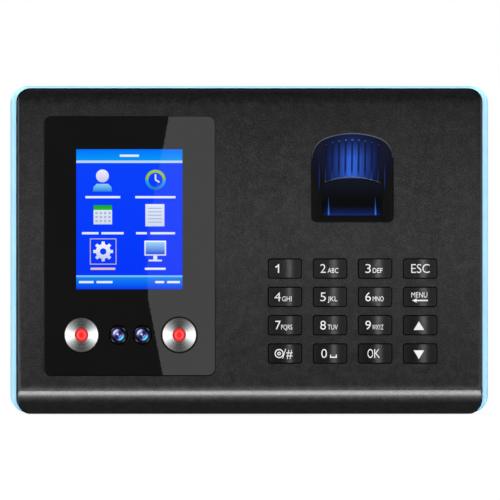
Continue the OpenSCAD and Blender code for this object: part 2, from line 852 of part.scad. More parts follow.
module keypad_board() {
    w = key_board_right - key_board_left;
    h = key_board_high - key_board_low;
    color("#1f5a33") difference() {
        plate(key_board_front, key_board_back) rounded((key_board_left + key_board_right) / 2,
            (key_board_low + key_board_high) / 2, w, h, 1.5);
        for (x = key_post_x, z = key_post_z)
            rod(x, z, key_board_front - cut, key_board_back + cut, small_screw_r + 0.2);
    }
    color("#e8e4d8") block(keypad_x - 9, keypad_x + 9, key_board_back, key_board_back + 3, -49, -44);
}

module keypad_ribbon() {
    color("#d8d8d8") block(keypad_x - 7, keypad_x + 7, key_board_back + 3, main_front - 2.2,
        -46.7, -46.3);
}

module main_board() {
    color("#1c5230") difference() {
        plate(main_front, main_back)
            rounded(0, (main_low + main_high) / 2, main_w, main_high - main_low, 2);
        for (side = [-1, 1], z = main_post_z)
            rod(side * main_post_x, z, main_front - cut, main_back + cut, small_screw_r + 0.2);
        // Notch for the power socket, which sits in the board's edge
        block(jack_x - 4.7, jack_x + 4.7, main_front - cut, main_back + cut,
            main_low - cut, -52);
    }
}

module board_chips() {
    // Processor, memory, flash and power chips
    color("#202022") {
        block(-26, -12, main_front - 1.4, main_front, -38, -24);
        block(-4, 8, main_front - 1.2, main_front, -36, -26);
        block(14, 26, main_front - 1.2, main_front, -56, -38);
        block(-52, -44, main_front - 1.2, main_front, -30, -20);
    }
    // Ribbon sockets for the display, the cameras, the keypad and the reader
    color("#e8e4d8") {
        block(lens_x - 10.3, lens_x + 10.3, main_front - 2.2, main_front, -12, -7);
        block(lens_x - 7, lens_x + 3, main_front - 2.2, main_front, eye_z - 2, eye_z + 2);
        block(keypad_x - 9, keypad_x + 9, main_front - 2.2, main_front, -49, -44);
        block(finger_x - 9, finger_x + 9, main_front - 1.8, main_front, -11, -7);
    }
    // Storage capacitors
    color("#3b3f8a") for (x = [-20, -11]) rod(x, -50, main_front - 6, main_front, 3.2);
}

module coin_cell_holder() {
    color("#e6e6e2") difference() {
        block(2, 18, main_front - 3.6, main_front, -20, -4);
        rod(10, -12, main_front - 4, main_front - 1.2, 6.6);
    }
}

module coin_cell() {
    color("#cfd2d6") rod(10, -12, main_front - 3.3, main_front - 1.2, 6.3);
}

module speaker() {
    color("#3d3f43") {
        rod(speaker_x, speaker_z, 26.2, cover_floor, speaker_r);
        taper(speaker_x, speaker_z, 25, 26.3, 8, speaker_r - 2);
        rod(speaker_x, speaker_z, speaker_front, 25.1, 8);
    }
}

module speaker_wires() {
    wire_r = 0.6;
    color("#b02020") translate([speaker_x + 4, 25.6 - 1.2 - depth, speaker_z - 8.5])
        rotate([180, 0, 0]) cylinder(h = 34, r = wire_r);
    color("#1a1a1a") translate([speaker_x + 6, 25.6 - 1.2 - depth, speaker_z - 8.5])
        rotate([180, 0, 0]) cylinder(h = 34, r = wire_r);
}

module dc_jack() {
    nose_top = cover_low + wall + 0.3;
    color("#121214") difference() {
        union() {
            translate([jack_x, jack_d - depth, socket_low])
                cylinder(h = nose_top - socket_low, r = jack_nose_r);
            block(jack_x - 4.5, jack_x + 4.5, 21.4, 29, nose_top - 0.2, -52.3);
        }
        translate([jack_x, jack_d - depth, socket_low - cut]) cylinder(h = 11, r = jack_mouth_r);
    }
    color("silver") translate([jack_x, jack_d - depth, socket_low + 0.8])
        cylinder(h = 10, r = jack_pin_r);
}

module usb_port() {
    x0 = usb_x - usb_w / 2;
    back = usb_front + usb_t;
    color("#c9ccd0") difference() {
        block(x0, x0 + usb_w, usb_front, back, socket_low, -52);
        block(x0 + 0.5, x0 + usb_w - 0.5, usb_front + 0.5, back - 0.5, socket_low - cut, -53.5);
    }
    color("white") block(x0 + 1, x0 + usb_w - 1, usb_front + 0.7, usb_front + 2.3,
        socket_low + 0.8, -53.2);
}

front_shell();
trim_frame();
trim_gasket();
back_cover();
wall_bracket();
bracket_screw();
housing_screws();
board_screws();
lens_panel();
lens_gasket();
lcd_panel();
lcd_frame();
lcd_holder();
lcd_flex();
ir_reflector_left();
ir_reflector_right();
ir_led_left();
ir_led_right();
camera_barrel_left();
camera_barrel_right();
camera_lens_left();
camera_lens_right();
camera_board();
camera_cable();
finger_guide();
sensor_prism();
sensor_light_guides();
sensor_housing();
sensor_board();
sensor_ribbon();
keypad_membrane();
keypad_board();
keypad_ribbon();
main_board();
board_chips();
coin_cell_holder();
coin_cell();
speaker();
speaker_wires();
dc_jack();
usb_port();
for (i = [0:15]) {
    key(i);
}
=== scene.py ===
"""The looks of a fingerprint scanner terminal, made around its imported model."""
import json
import math

import bmesh
import bpy
from mathutils import Matrix, Vector


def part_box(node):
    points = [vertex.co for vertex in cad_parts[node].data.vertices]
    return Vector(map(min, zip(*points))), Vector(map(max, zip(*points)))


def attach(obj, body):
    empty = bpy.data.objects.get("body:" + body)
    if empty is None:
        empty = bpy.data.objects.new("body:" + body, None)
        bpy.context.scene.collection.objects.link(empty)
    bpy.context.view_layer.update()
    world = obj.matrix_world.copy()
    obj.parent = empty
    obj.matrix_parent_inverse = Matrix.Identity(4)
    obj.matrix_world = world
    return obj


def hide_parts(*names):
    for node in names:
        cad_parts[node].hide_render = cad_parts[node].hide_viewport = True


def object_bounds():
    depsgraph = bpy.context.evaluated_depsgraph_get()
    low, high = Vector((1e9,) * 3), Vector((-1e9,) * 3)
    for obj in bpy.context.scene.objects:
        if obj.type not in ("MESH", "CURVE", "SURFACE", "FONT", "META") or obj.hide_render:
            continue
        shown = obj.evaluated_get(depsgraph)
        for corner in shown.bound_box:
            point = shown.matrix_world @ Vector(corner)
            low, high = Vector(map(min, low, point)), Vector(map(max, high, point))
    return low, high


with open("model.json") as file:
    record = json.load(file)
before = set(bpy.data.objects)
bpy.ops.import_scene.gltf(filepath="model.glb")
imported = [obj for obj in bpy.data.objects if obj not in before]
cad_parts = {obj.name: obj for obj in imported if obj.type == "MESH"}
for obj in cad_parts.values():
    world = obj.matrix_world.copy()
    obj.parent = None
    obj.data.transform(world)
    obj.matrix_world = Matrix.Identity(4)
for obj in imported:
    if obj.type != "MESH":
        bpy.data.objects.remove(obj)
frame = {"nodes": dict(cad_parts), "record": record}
CAD_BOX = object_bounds()
NODES = frame["nodes"]
MM = 0.001
HOUSING = "housing"


def middle(node):
    """The centre of a node's box."""
    low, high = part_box(node)
    return (low + high) / 2


def show(name, data):
    """A new object in the scene."""
    item = bpy.data.objects.new(name, data)
    bpy.context.scene.collection.objects.link(item)
    return item


# -------- sizes, from the frame
FACE_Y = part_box("front_shell")[0].y
FLOOR_Z = CAD_BOX[0].z
LENS_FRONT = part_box("lens_panel")[0].y
LENS_X = middle("lens_panel").x
LCD_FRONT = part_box("lcd_panel")[0].y
PICTURE_W, PICTURE_H = 43.0 * MM, 56.7 * MM
PICTURE_X, PICTURE_Z = LENS_X - 0.1 * MM, 12.45 * MM

KEY_SAG = 0.9 * MM
KEY_HALF_W = 6.6 * MM
DIODE_R = 2.7 * MM
CAMERA_R = 2.45 * MM
BARREL_ARC_R = 3.25 * MM
WELD = 0.002 * MM
FLAT_ANGLE = math.radians(0.5)
SHARP_ANGLE = math.radians(40)

GUIDE_FLANGE = 3 * MM
GUIDE_LOW, GUIDE_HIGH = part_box("finger_guide")
FINGER_X = middle("finger_guide").x
FINGER_HALF = (GUIDE_HIGH.x - GUIDE_LOW.x) / 2 - GUIDE_FLANGE
FINGER_TOP = GUIDE_HIGH.z - GUIDE_FLANGE
SHOULDER_R = 8.4 * MM
FINGER_RISE = 9.8 * MM
WINDOW_TILT = math.radians(21)
WINDOW_HALF = 12.4 * MM
WINDOW_SIDE = 13.8 * MM
WINDOW_RISE = 2.8 * MM
WINDOW_DEPTH = 6.5 * MM
WINDOW_BOTTOM = 14 * MM
FLUTE_PITCH = 2.66 * MM
FLUTE_COUNT = 9


# -------- material helpers
class Paint:
    """A node material, built up one node at a time round a Principled shader."""

    def __init__(self, name, color, roughness, metallic=0.0, **sockets):
        self.material = bpy.data.materials.new(name)
        self.material.use_nodes = True
        self.nodes = self.material.node_tree.nodes
        self.links = self.material.node_tree.links
        self.shader = self.nodes["Principled BSDF"]
        self.shader.inputs["Base Color"].default_value = (*color, 1)
        self.shader.inputs["Roughness"].default_value = roughness
        self.shader.inputs["Metallic"].default_value = metallic
        for socket, value in sockets.items():
            self.shader.inputs[socket.replace("_", " ")].default_value = value
        self.place = self.nodes.new("ShaderNodeTexCoord").outputs["Object"]

    def add(self, kind, inputs=None, **settings):
        """A new node. inputs maps a socket's name or number to a value or an output."""
        node = self.nodes.new(kind)
        for key, value in settings.items():
            setattr(node, key, value)
        for key, value in (inputs or {}).items():
            if isinstance(value, bpy.types.NodeSocket):
                self.links.new(value, node.inputs[key])
            else:
                node.inputs[key].default_value = value
        return node

    def math(self, operation, a, b=0.0):
        return self.add("ShaderNodeMath", {0: a, 1: b}, operation=operation).outputs[0]

    def product(self, first, *factors):
        for factor in factors:
            first = self.math("MULTIPLY", first, factor)
        return first

    def vector(self, operation, *inputs):
        return self.add("ShaderNodeVectorMath", dict(enumerate(inputs)),
                        operation=operation).outputs

    def dimmed(self, color, factor):
        """A colour times a number."""
        return self.add("ShaderNodeVectorMath", {0: color, "Scale": factor},
                        operation="SCALE").outputs[0]

    def noise(self, scale, detail=3.0, roughness=0.55, place=None):
        inputs = {"Vector": place or self.place, "Scale": scale, "Detail": detail,
                  "Roughness": roughness}
        return self.add("ShaderNodeTexNoise", inputs).outputs["Fac"]

    def stretched(self, x, y, z):
        """Object coordinates scaled along each axis."""
        return self.add("ShaderNodeMapping", {"Vector": self.place, "Scale": (x, y, z)}).outputs[0]

    def span(self, value, low, high, to_low=0.0, to_high=1.0):
        """value mapped from one range to another, held at both ends."""
        inputs = {"Value": value, "From Min": low, "From Max": high, "To Min": to_low,
                  "To Max": to_high}
        return self.add("ShaderNodeMapRange", inputs, clamp=True).outputs[0]

    def ramp(self, value, stops):
        """value turned into colour by (position, colour or grey) stops."""
        node = self.add("ShaderNodeValToRGB", {"Fac": value})
        elements = node.color_ramp.elements
        while len(elements) < len(stops):
            elements.new(0.5)
        for element, (position, color) in zip(elements, stops):
            element.position = position
            element.color = (*(color if isinstance(color, tuple) else (color,) * 3), 1)
        return node.outputs["Color"]

    def feed(self, socket, value):
        """Joins an output to a socket of the Principled shader."""
        self.links.new(value, self.shader.inputs[socket])
        return self

    def bump(self, height, distance, strength=1.0):
        """Surface relief from a height, distance metres deep."""
        node = self.add("ShaderNodeBump", {"Height": height, "Distance": distance,
                                           "Strength": strength})
        return self.feed("Normal", node.outputs[0])

    def axes(self):
        """Object coordinates as separate x, y and z outputs."""
        node = self.add("ShaderNodeSeparateXYZ", {0: self.place})
        return node.outputs[0], node.outputs[1], node.outputs[2]


def scaled(color, factor):
    return tuple(min(1.0, c * factor) for c in color)


def grained(name, color, roughness, grain=1400.0, contrast=0.35, depth=0.03, **sockets):
    """Moulded plastic or rubber with a fine grain in its colour, gloss and relief."""
    paint = Paint(name, color, roughness, **sockets)
    fine = paint.noise(grain, 2.0, 0.6)
    broad = paint.noise(grain / 40, 2.0)
    mixed = paint.math("ADD", paint.product(fine, 0.85), paint.product(broad, 0.15))
    paint.feed("Base Color", paint.ramp(mixed, [
        (0.36, scaled(color, 1 - contrast)), (0.64, scaled(color, 1 + contrast))]))
    paint.feed("Roughness", paint.span(broad, 0.3, 0.7, roughness - 0.05, roughness + 0.05))
    paint.bump(fine, depth * MM, 0.6)
    return paint.material


def brushed(name, color, roughness, along="x"):
    """Sheet or turned metal with fine scratches along one axis."""
    paint = Paint(name, color, roughness, metallic=1.0)
    stretch = {"x": (40, 900, 900), "z": (900, 900, 40)}[along]
    lines = paint.noise(1.0, 4.0, 0.7, paint.stretched(*stretch))
    stain = paint.noise(60.0, 3.0)
    paint.feed("Base Color", paint.ramp(stain, [
        (0.3, scaled(color, 0.82)), (0.7, scaled(color, 1.08))]))
    paint.feed("Roughness", paint.span(lines, 0.3, 0.7, roughness - 0.1, roughness + 0.12))
    paint.bump(lines, 0.01 * MM, 0.5)
    return paint.material


def circuit_board(name):
    """Green solder mask with copper tracks, pads and fine texture."""
    paint = Paint(name, (0.01, 0.10, 0.035), 0.35, Coat_Weight=0.3, Coat_Roughness=0.2)
    x, _, z = paint.axes()
    tracks = []
    for axis, pitch in ((x, 1.9 * MM), (z, 1.4 * MM)):
        wave = paint.math("FRACT", paint.math("DIVIDE", axis, pitch))
        tracks.append(paint.math("LESS_THAN", wave, 0.28))
    choose = paint.add("ShaderNodeTexVoronoi", {"Vector": paint.place, "Scale": 110.0},
                       distance="CHEBYCHEV").outputs["Color"]
    pick = paint.math("GREATER_THAN", choose, 0.5)
    flipped = paint.math("SUBTRACT", 1.0, pick)
    copper = paint.math("ADD", paint.product(tracks[0], pick),
                        paint.product(tracks[1], flipped))
    paint.feed("Base Color", paint.ramp(copper, [
        (0.0, (0.006, 0.075, 0.026)), (1.0, (0.02, 0.19, 0.06))]))
    paint.bump(copper, 0.03 * MM, 0.8)
    return paint.material


def gloss(name, color, roughness, smudge=0.05, **sockets):
    """Smooth hard plastic or glass, with faint smudges in its gloss."""
    paint = Paint(name, color, roughness, **sockets)
    cloud = paint.noise(45.0, 4.0, 0.6)
    dust = paint.noise(900.0, 2.0)
    paint.feed("Base Color", paint.ramp(cloud, [
        (0.3, scaled(color, 0.9)), (0.7, scaled(color, 1.1))]))
    paint.feed("Roughness", paint.span(cloud, 0.35, 0.75, roughness, roughness + smudge))
    paint.bump(dust, 0.002 * MM, 0.2)
    return paint.material


# -------- materials
def housing_material():
    """Black moulding with a fine speckled texture."""
    paint = Paint("housing_black", (0.025, 0.025, 0.026), 0.5, Specular_IOR_Level=0.5)
    speck = paint.noise(1500.0, 2.0, 0.7)
    patch = paint.noise(420.0, 2.0, 0.5)
    mixed = paint.math("ADD", paint.product(speck, 0.75), paint.product(patch, 0.25))
    paint.feed("Base Color", paint.ramp(mixed, [
        (0.40, (0.006, 0.006, 0.0062)), (0.5, (0.018, 0.018, 0.0183)),
        (0.62, (0.040, 0.040, 0.0405))]))
    paint.feed("Roughness", paint.span(patch, 0.3, 0.7, 0.35, 0.40))
    paint.bump(mixed, 0.016 * MM, 0.6)
    return paint.material


def key_material():
    """Glossy black cap, with painted shade below the face: dull and dark where only the gap shows
    it.
    """
    paint = Paint("key_gloss", (0.02, 0.02, 0.0208), 0.2)
    _, y, _ = paint.axes()
    cloud = paint.noise(45.0, 4.0, 0.6)
    fine = paint.noise(1300.0, 2.0)
    top = paint.ramp(cloud, [(0.3, (0.018, 0.018, 0.0186)), (0.7, (0.022, 0.022, 0.0228))])
    # painted shade: colour and gloss fade to almost nothing below the face, in the gap round the
    # key
    shown = paint.span(y, FACE_Y + 0.3 * MM, FACE_Y + 1.2 * MM, 1.0, 0.03)
    paint.feed("Base Color", paint.dimmed(top, shown))
    paint.feed("Specular IOR Level", paint.product(shown, 0.5))
    paint.feed("Roughness", paint.span(cloud, 0.35, 0.75, 0.2, 0.24))
    paint.bump(fine, 0.002 * MM, 0.2)
    return paint.material


def trim_material():
    """Light-blue satin plastic."""
    paint = Paint("trim_blue", (0.35, 0.73, 1.0), 0.32, Subsurface_Weight=0.25,
                  Subsurface_Scale=0.004, Specular_IOR_Level=0.5)
    cloud = paint.noise(60.0, 3.0)
    fine = paint.noise(1300.0, 2.0)
    paint.feed("Base Color", paint.ramp(cloud, [
        (0.3, (0.33, 0.70, 0.98)), (0.7, (0.38, 0.76, 1.0))]))
    paint.bump(fine, 0.006 * MM, 0.3)
    return paint.material


def turned_metal(name, centre):
    """Silver reflector with turning lines that run round its centre."""
    paint = Paint(name, (0.86, 0.87, 0.88), 0.22, metallic=1.0, Anisotropic=0.75)
    offset = paint.vector("SUBTRACT", paint.place, tuple(centre))[0]
    flat = paint.vector("MULTIPLY", offset, (1, 0, 1))[0]
    tangent = paint.vector("CROSS_PRODUCT", flat, (0, 1, 0))[0]
    paint.feed("Tangent", paint.vector("NORMALIZE", tangent)[0])
    radius = paint.vector("LENGTH", flat)["Value"]
    groove = paint.add("ShaderNodeTexNoise", {
        "W": paint.product(radius, 4200.0), "Scale": 1.0, "Detail": 2.0},
        noise_dimensions="1D").outputs["Fac"]
    paint.feed("Roughness", paint.span(groove, 0.3, 0.7, 0.16, 0.34))
    paint.feed("Base Color", paint.ramp(groove, [
        (0.3, (0.74, 0.75, 0.76)), (0.7, (0.93, 0.94, 0.95))]))
    paint.bump(groove, 0.006 * MM, 0.4)
    return paint.material


def around(paint, centre):
    """Distance from an axis that runs front to back, and offsets across and up from it."""
    x, _, z = paint.axes()
    dx = paint.math("SUBTRACT", x, centre.x)
    dz = paint.math("SUBTRACT", z, centre.z)
    squares = paint.math("ADD", paint.product(dx, dx), paint.product(dz, dz))
    return paint.math("SQRT", squares), dx, dz


def diode_material(name, centre):
    """Clear red epoxy with a lit cup behind it."""
    paint = Paint(name, (0.55, 0.01, 0.01), 0.12, Coat_Weight=0.6, Coat_Roughness=0.05,
                  Emission_Strength=0.92)
    radius, _, dz = around(paint, centre)
    upright = paint.math("DIVIDE", paint.math("ABSOLUTE", dz), paint.math("ADD", radius, 0.1 * MM))
    cup = paint.ramp(paint.math("DIVIDE", radius, DIODE_R), [
        (0.0, (0.94, 0.024, 0.026)), (0.40, (0.94, 0.02, 0.022)), (0.58, (1.0, 0.12, 0.11)),
        (0.68, (0.96, 0.03, 0.03)), (0.85, (0.93, 0.022, 0.022)), (1.0, (0.6, 0.005, 0.005))])
    swirl = paint.noise(700.0, 3.0, 0.6)
    level = paint.math("ADD", 0.8, paint.product(upright, 0.3))
    level = paint.math("ADD", level, paint.product(swirl, 0.1))
    paint.feed("Emission Color", paint.dimmed(cup, level))
    return paint.material


def camera_glass(name, centre):
    """Coated glass with painted reflections in its emission: lilac at the upper left, cyan at the
    lower right, dark between, and a painted glint on the pupil.
    """
    paint = Paint(name, (0.004, 0.004, 0.012), 0.04, Coat_Weight=1.0, Coat_Roughness=0.03,
                  Emission_Strength=1.8)
    radius, dx, dz = around(paint, centre)
    safe = paint.math("ADD", radius, 0.02 * MM)
    slant = paint.math("DIVIDE", paint.math("SUBTRACT", dz, dx), paint.product(safe, 1.4))
    # painted reflection of the coatings, by direction round the centre
    tint = paint.ramp(paint.span(slant, -1.0, 1.0), [
        (0.0, (0.05, 0.48, 0.86)), (0.16, (0.26, 0.20, 0.80)), (0.42, (0.015, 0.02, 0.16)),
        (0.62, (0.03, 0.04, 0.30)), (0.82, (0.34, 0.20, 0.76)), (1.0, (0.42, 0.50, 0.92))])
    cross = paint.math("DIVIDE", paint.product(dx, dz), paint.product(safe, safe))
    sector = paint.span(cross, -0.32, 0.16, 1.0, 0.2)
    # painted reflections of the lens rings
    painted_ring_reflections = paint.ramp(paint.math("DIVIDE", radius, CAMERA_R), [
        (0.0, 0.03), (0.20, 0.03), (0.27, 0.5), (0.36, 0.95), (0.46, 0.12), (0.56, 0.3),
        (0.72, 1.0), (0.9, 0.85), (0.98, 0.05)])
    sheen = paint.noise(900.0, 2.0)
    painted_ring_reflections = paint.product(painted_ring_reflections, sector, paint.span(sheen, 0.3, 0.7, 0.85, 1.15))
    # painted glint, a little up and left of the centre
    from_glint, _, _ = around(paint, centre + Vector((-0.14, 0, 0.14)) * MM)
    painted_glint = paint.ramp(paint.span(from_glint, 0.12 * MM, 0.32 * MM), [
        (0.0, (0.85, 0.88, 0.95)), (1.0, 0.0)])
    paint.feed("Emission Color", paint.vector("ADD", paint.dimmed(tint, painted_ring_reflections), painted_glint)[0])
    return paint.material


def barrel_material(name, centre):
    """Black moulded barrel with four short painted highlight arcs on its mouth, on the diagonals.
    """
    paint = Paint(name, (0.006, 0.006, 0.0065), 0.45, Emission_Strength=1.0)
    radius, dx, dz = around(paint, centre)
    # painted highlight: a thin glowing arc at BARREL_ARC_R on each diagonal
    off_arc = paint.math("ABSOLUTE", paint.math("SUBTRACT", radius, BARREL_ARC_R))
    band = paint.span(off_arc, 0.02 * MM, 0.10 * MM, 1.0, 0.0)
    cross = paint.math("DIVIDE", paint.math("ABSOLUTE", paint.product(dx, dz)),
                       paint.product(radius, radius))
    grain = paint.noise(1300.0, 2.0)
    painted_glint_arc = paint.product(band, paint.span(cross, 0.42, 0.48), paint.span(grain, 0.3, 0.7, 0.85, 1.1))
    paint.feed("Emission Color", paint.ramp(painted_glint_arc, [(0.0, 0.0), (1.0, (0.34, 0.34, 0.35))]))
    paint.bump(grain, 0.01 * MM, 0.3)
    return paint.material


def groove_distance(paint, dx):
    """Distance across to the nearest groove of the finger guide."""
    turn = paint.math("ADD", paint.math("DIVIDE", dx, FLUTE_PITCH), 0.5)
    part = paint.math("SUBTRACT", paint.math("FRACT", turn), 0.5)
    return paint.product(paint.math("ABSOLUTE", part), FLUTE_PITCH)


def guide_material():
    """Dark plastic whose grooved slope has painted blue light, as if lit from below."""
    paint = Paint("guide_black", (0.009, 0.009, 0.0095), 0.5, Specular_IOR_Level=0.15,
                  Emission_Strength=1.0)
    x, _, z = paint.axes()
    dx = paint.math("SUBTRACT", x, FINGER_X)
    side = paint.math("ABSOLUTE", dx)
    # painted blue light: brightest in the middle, on the ridges and partway up the slope
    middle_glow = paint.math("POWER", paint.span(side, 0.0, 12.5 * MM, 1.0, 0.0), 1.7)
    rise = paint.ramp(paint.span(z, 28 * MM, 47.5 * MM), [
        (0.0, 0.0), (0.05, 0.85), (0.14, 1.0), (0.48, 0.92), (0.66, 0.55),
        (0.82, 0.16), (1.0, 0.02)])
    near = groove_distance(paint, dx)
    low_end = paint.span(z, 29.5 * MM, 32.5 * MM, 1.0, 0.0)
    top_end = paint.span(z, 43.2 * MM, 45.2 * MM)
    ridge = paint.math("MAXIMUM", paint.span(near, 0.26 * MM, 0.5 * MM),
                       paint.math("MAXIMUM", low_end, top_end))
    glow = paint.product(middle_glow, rise, paint.span(ridge, 0.0, 1.0, 0.16, 1.0))
    # Painted thin lines of light along the outer grooves, low down
    line = paint.product(
        paint.span(near, 0.0, 0.28 * MM, 1.0, 0.0), paint.span(side, 7.0 * MM, 8.0 * MM),
        paint.span(side, 13.4 * MM, 13.8 * MM, 1.0, 0.0), paint.span(z, 36 * MM, 30 * MM),
        paint.span(z, 24 * MM, 27 * MM))
    glow = paint.math("ADD", glow, paint.product(line, 0.34))
    # painted faint haze of blue light low down on the sides
    painted_haze = paint.product(paint.span(z, 28 * MM, 36 * MM),
                         paint.span(side, 16 * MM, 8 * MM, 0.02, 0.06))
    streak = paint.noise(1.0, 2.0, 0.5, paint.stretched(2600, 60, 60))
    glow = paint.product(paint.math("ADD", glow, painted_haze), paint.span(streak, 0.25, 0.75, 0.86, 1.14))
    paint.feed("Emission Color", paint.ramp(glow, [
        (0.0, (0.004, 0.004, 0.0045)), (0.06, (0.004, 0.007, 0.03)), (0.3, (0.010, 0.030, 0.17)),
        (0.65, (0.022, 0.078, 0.43)), (1.0, (0.034, 0.140, 0.74))]))
    paint.bump(paint.noise(1100.0, 2.0), 0.01 * MM, 0.4)
    return paint.material


def window_material():
    """Dark navy glass with painted blue light along its lower edge and a faint painted haze higher
    up.
    """
    paint = Paint("window_glass", (0.006, 0.008, 0.012), 0.08, Coat_Weight=0.3,
                  Emission_Strength=1.0)
    x, _, z = paint.axes()
    side = paint.math("ABSOLUTE", paint.math("SUBTRACT", x, FINGER_X))
    # painted blue light along the lower edge, fading across to the sides
    low = paint.ramp(paint.span(z, WINDOW_BOTTOM, WINDOW_BOTTOM + 3.8 * MM), [
        (0.0, (0.007, 0.028, 0.22)), (0.12, (0.004, 0.013, 0.12)), (0.4, (0.003, 0.007, 0.05)),
        (1.0, 0.0)])
    cloud = paint.noise(300.0, 2.0)
    across = paint.product(paint.span(side, 8.5 * MM, 12.4 * MM, 1.0, 0.0),
                           paint.span(cloud, 0.3, 0.7, 0.85, 1.1))
    # painted faint haze higher up
    painted_haze = paint.ramp(paint.span(z, 20 * MM, 29 * MM), [(0.0, 0.0), (1.0, (0.004, 0.006, 0.012))])
    paint.feed("Emission Color", paint.vector("ADD", paint.dimmed(low, across), painted_haze)[0])
    return paint.material


def light_guide_material():
    """Blue light that fades towards the tip of each guide."""
    paint = Paint("light_guide_blue", (0.0, 0.0, 0.0), 0.4, Emission_Strength=1.0)
    _, _, z = paint.axes()
    fade = paint.span(z, WINDOW_BOTTOM + 0.5 * MM, WINDOW_BOTTOM + 7.6 * MM, 1.0, 0.05)
    grain = paint.noise(1500.0, 1.0)
    fade = paint.product(fade, paint.span(grain, 0.3, 0.7, 0.9, 1.05))
    paint.feed("Emission Color", paint.ramp(fade, [
        (0.0, 0.0), (0.3, (0.010, 0.04, 0.18)), (1.0, (0.022, 0.16, 0.74))]))
    return paint.material


SLOT_MATERIALS = {
    "housing_black": housing_material(),
    "trim_blue": trim_material(),
    "board_green": circuit_board("board_green"),
    "light_guide_blue": light_guide_material(),
    "guide_black": guide_material(),
    "window_glass": window_material(),
    "key_gloss": key_material(),
}
for slot, (maker, *values) in {
    "cover_black": (grained, (0.018, 0.018, 0.0195), 0.55, 1100, 0.3, 0.05),
    "bracket_steel": (brushed, (0.58, 0.59, 0.6), 0.38),
    "screw_steel": (brushed, (0.62, 0.62, 0.62), 0.3),
    "lens_black": (gloss, (0.024, 0.024, 0.0245), 0.0, 0.01),
    # a real gasket, made near black so that it stands for the shade in the gap between the trim and
    # the shell
    "gasket_black": (grained, (0.004, 0.004, 0.004), 0.8, 900, 0.4, 0.02),
    "foam_black": (grained, (0.006, 0.006, 0.006), 0.9, 900, 0.5, 0.1),
    "screen_glass": (gloss, (0.01, 0.01, 0.012), 0.1),
    "white_plastic": (grained, (0.72, 0.72, 0.7), 0.5, 900, 0.06),
    "grey_plastic": (grained, (0.12, 0.125, 0.13), 0.5, 900, 0.2),
    "flex_amber": (gloss, (0.5, 0.22, 0.04), 0.35),
    "camera_black": (grained, (0.01, 0.01, 0.011), 0.42, 1300, 0.3, 0.01),
    "cable_grey": (grained, (0.06, 0.06, 0.065), 0.6, 800, 0.3),
    "ribbon_white": (gloss, (0.7, 0.7, 0.68), 0.35),
    "silicone_grey": (grained, (0.3, 0.31, 0.32), 0.65, 700, 0.12),
    "chip_black": (grained, (0.02, 0.02, 0.022), 0.45, 1000, 0.3),
    "cell_steel": (brushed, (0.66, 0.67, 0.68), 0.28),
    "speaker_grey": (grained, (0.05, 0.05, 0.055), 0.7, 600, 0.4, 0.1),
    "socket_black": (grained, (0.014, 0.014, 0.014), 0.45, 1000, 0.3),
    "socket_metal": (brushed, (0.66, 0.67, 0.68), 0.3, "z"),
}.items():
    SLOT_MATERIALS[slot] = maker(slot, *values)


def dress(node, material):
    """Gives a CAD node its material."""
    slots = NODES[node].data.materials
    slots.clear()
    slots.append(material)


for subpart in frame["record"]["subparts"]:
    found = SLOT_MATERIALS.get(subpart["material_slot"])
    if found:
        dress(subpart["node"], found)
for side in ("left", "right"):
    reflector = "ir_reflector_" + side
    dress(reflector, turned_metal("reflector_silver_" + side, middle(reflector)))
    diode = "ir_led_" + side
    dress(diode, diode_material("led_red_" + side, middle(diode)))
    NODES[diode].visible_glossy = False
    eye = "camera_lens_" + side
    dress(eye, camera_glass("camera_glass_" + side, middle(eye)))
    barrel = "camera_barrel_" + side
    dress(barrel, barrel_material("camera_black_" + side, middle(barrel)))


# -------- mesh helpers
def make_piece(name, mesh, materials, body=HOUSING, replaced=()):
    """Puts a finished mesh in the scene as a piece of the object."""
    piece = show(name, mesh)
    for material in materials:
        mesh.materials.append(material)
    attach(piece, body)
    if replaced:
        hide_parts(*replaced)


def mesh_of(name, vertices, faces, smooth=False):
    mesh = bpy.data.meshes.new(name)
    mesh.from_pydata([tuple(v) for v in vertices], [], faces)
    for polygon in mesh.polygons:
        polygon.use_smooth = smooth
    mesh.validate()
    mesh.update()
    return mesh


def mesh_from(bm, name):
    """A mesh made from bm, which is then let go."""
    mesh = bpy.data.meshes.new(name)
    bm.to_mesh(mesh)
    bm.free()
    return mesh


def bevel_edges(node, width):
    """Rounds a CAD node's sharp edges with modifiers, and leaves its own mesh as it is."""
    piece = NODES[node]
    weld = piece.modifiers.new("weld", "WELD")
    weld.merge_threshold = WELD
    flat = piece.modifiers.new("flat", "DECIMATE")
    flat.decimate_type = "DISSOLVE"
    flat.angle_limit = FLAT_ANGLE
    bevel = piece.modifiers.new("bevel", "BEVEL")
    bevel.width = width
    bevel.segments = 2
    bevel.limit_method = "ANGLE"
    bevel.angle_limit = SHARP_ANGLE
    bevel.use_clamp_overlap = True
    bevel.harden_normals = False
    for polygon in piece.data.polygons:
        polygon.use_smooth = True
    normals = piece.modifiers.new("normals", "WEIGHTED_NORMAL")
    normals.keep_sharp = False
    normals.weight = 80


# -------- flat shapes, in millimetres
def srgb(code):
    """Linear colour from a six-digit display colour."""
    parts = [int(code[i:i + 2], 16) / 255 for i in (0, 2, 4)]
    return tuple(c / 12.92 if c <= 0.04045 else ((c + 0.055) / 1.055) ** 2.4 for c in parts)


def box_shape(x0, y0, x1, y1):
    return [(x0, y0), (x1, y0), (x1, y1), (x0, y1)], [(0, 1, 2, 3)]


def polygon(*points):
    return list(points), [tuple(range(len(points)))]


def ring(x, y, inner, outer, start=0, end=360, steps=40):
    """Part of a flat ring, or a whole one, from start to end degrees."""
    points, faces = [], []
    for i in range(steps + 1):
        a = math.radians(start + (end - start) * i / steps)
        points += [(x + r * math.cos(a), y + r * math.sin(a)) for r in (inner, outer)]
        if i:
            faces.append((2 * i - 2, 2 * i - 1, 2 * i + 1, 2 * i))
    return points, faces


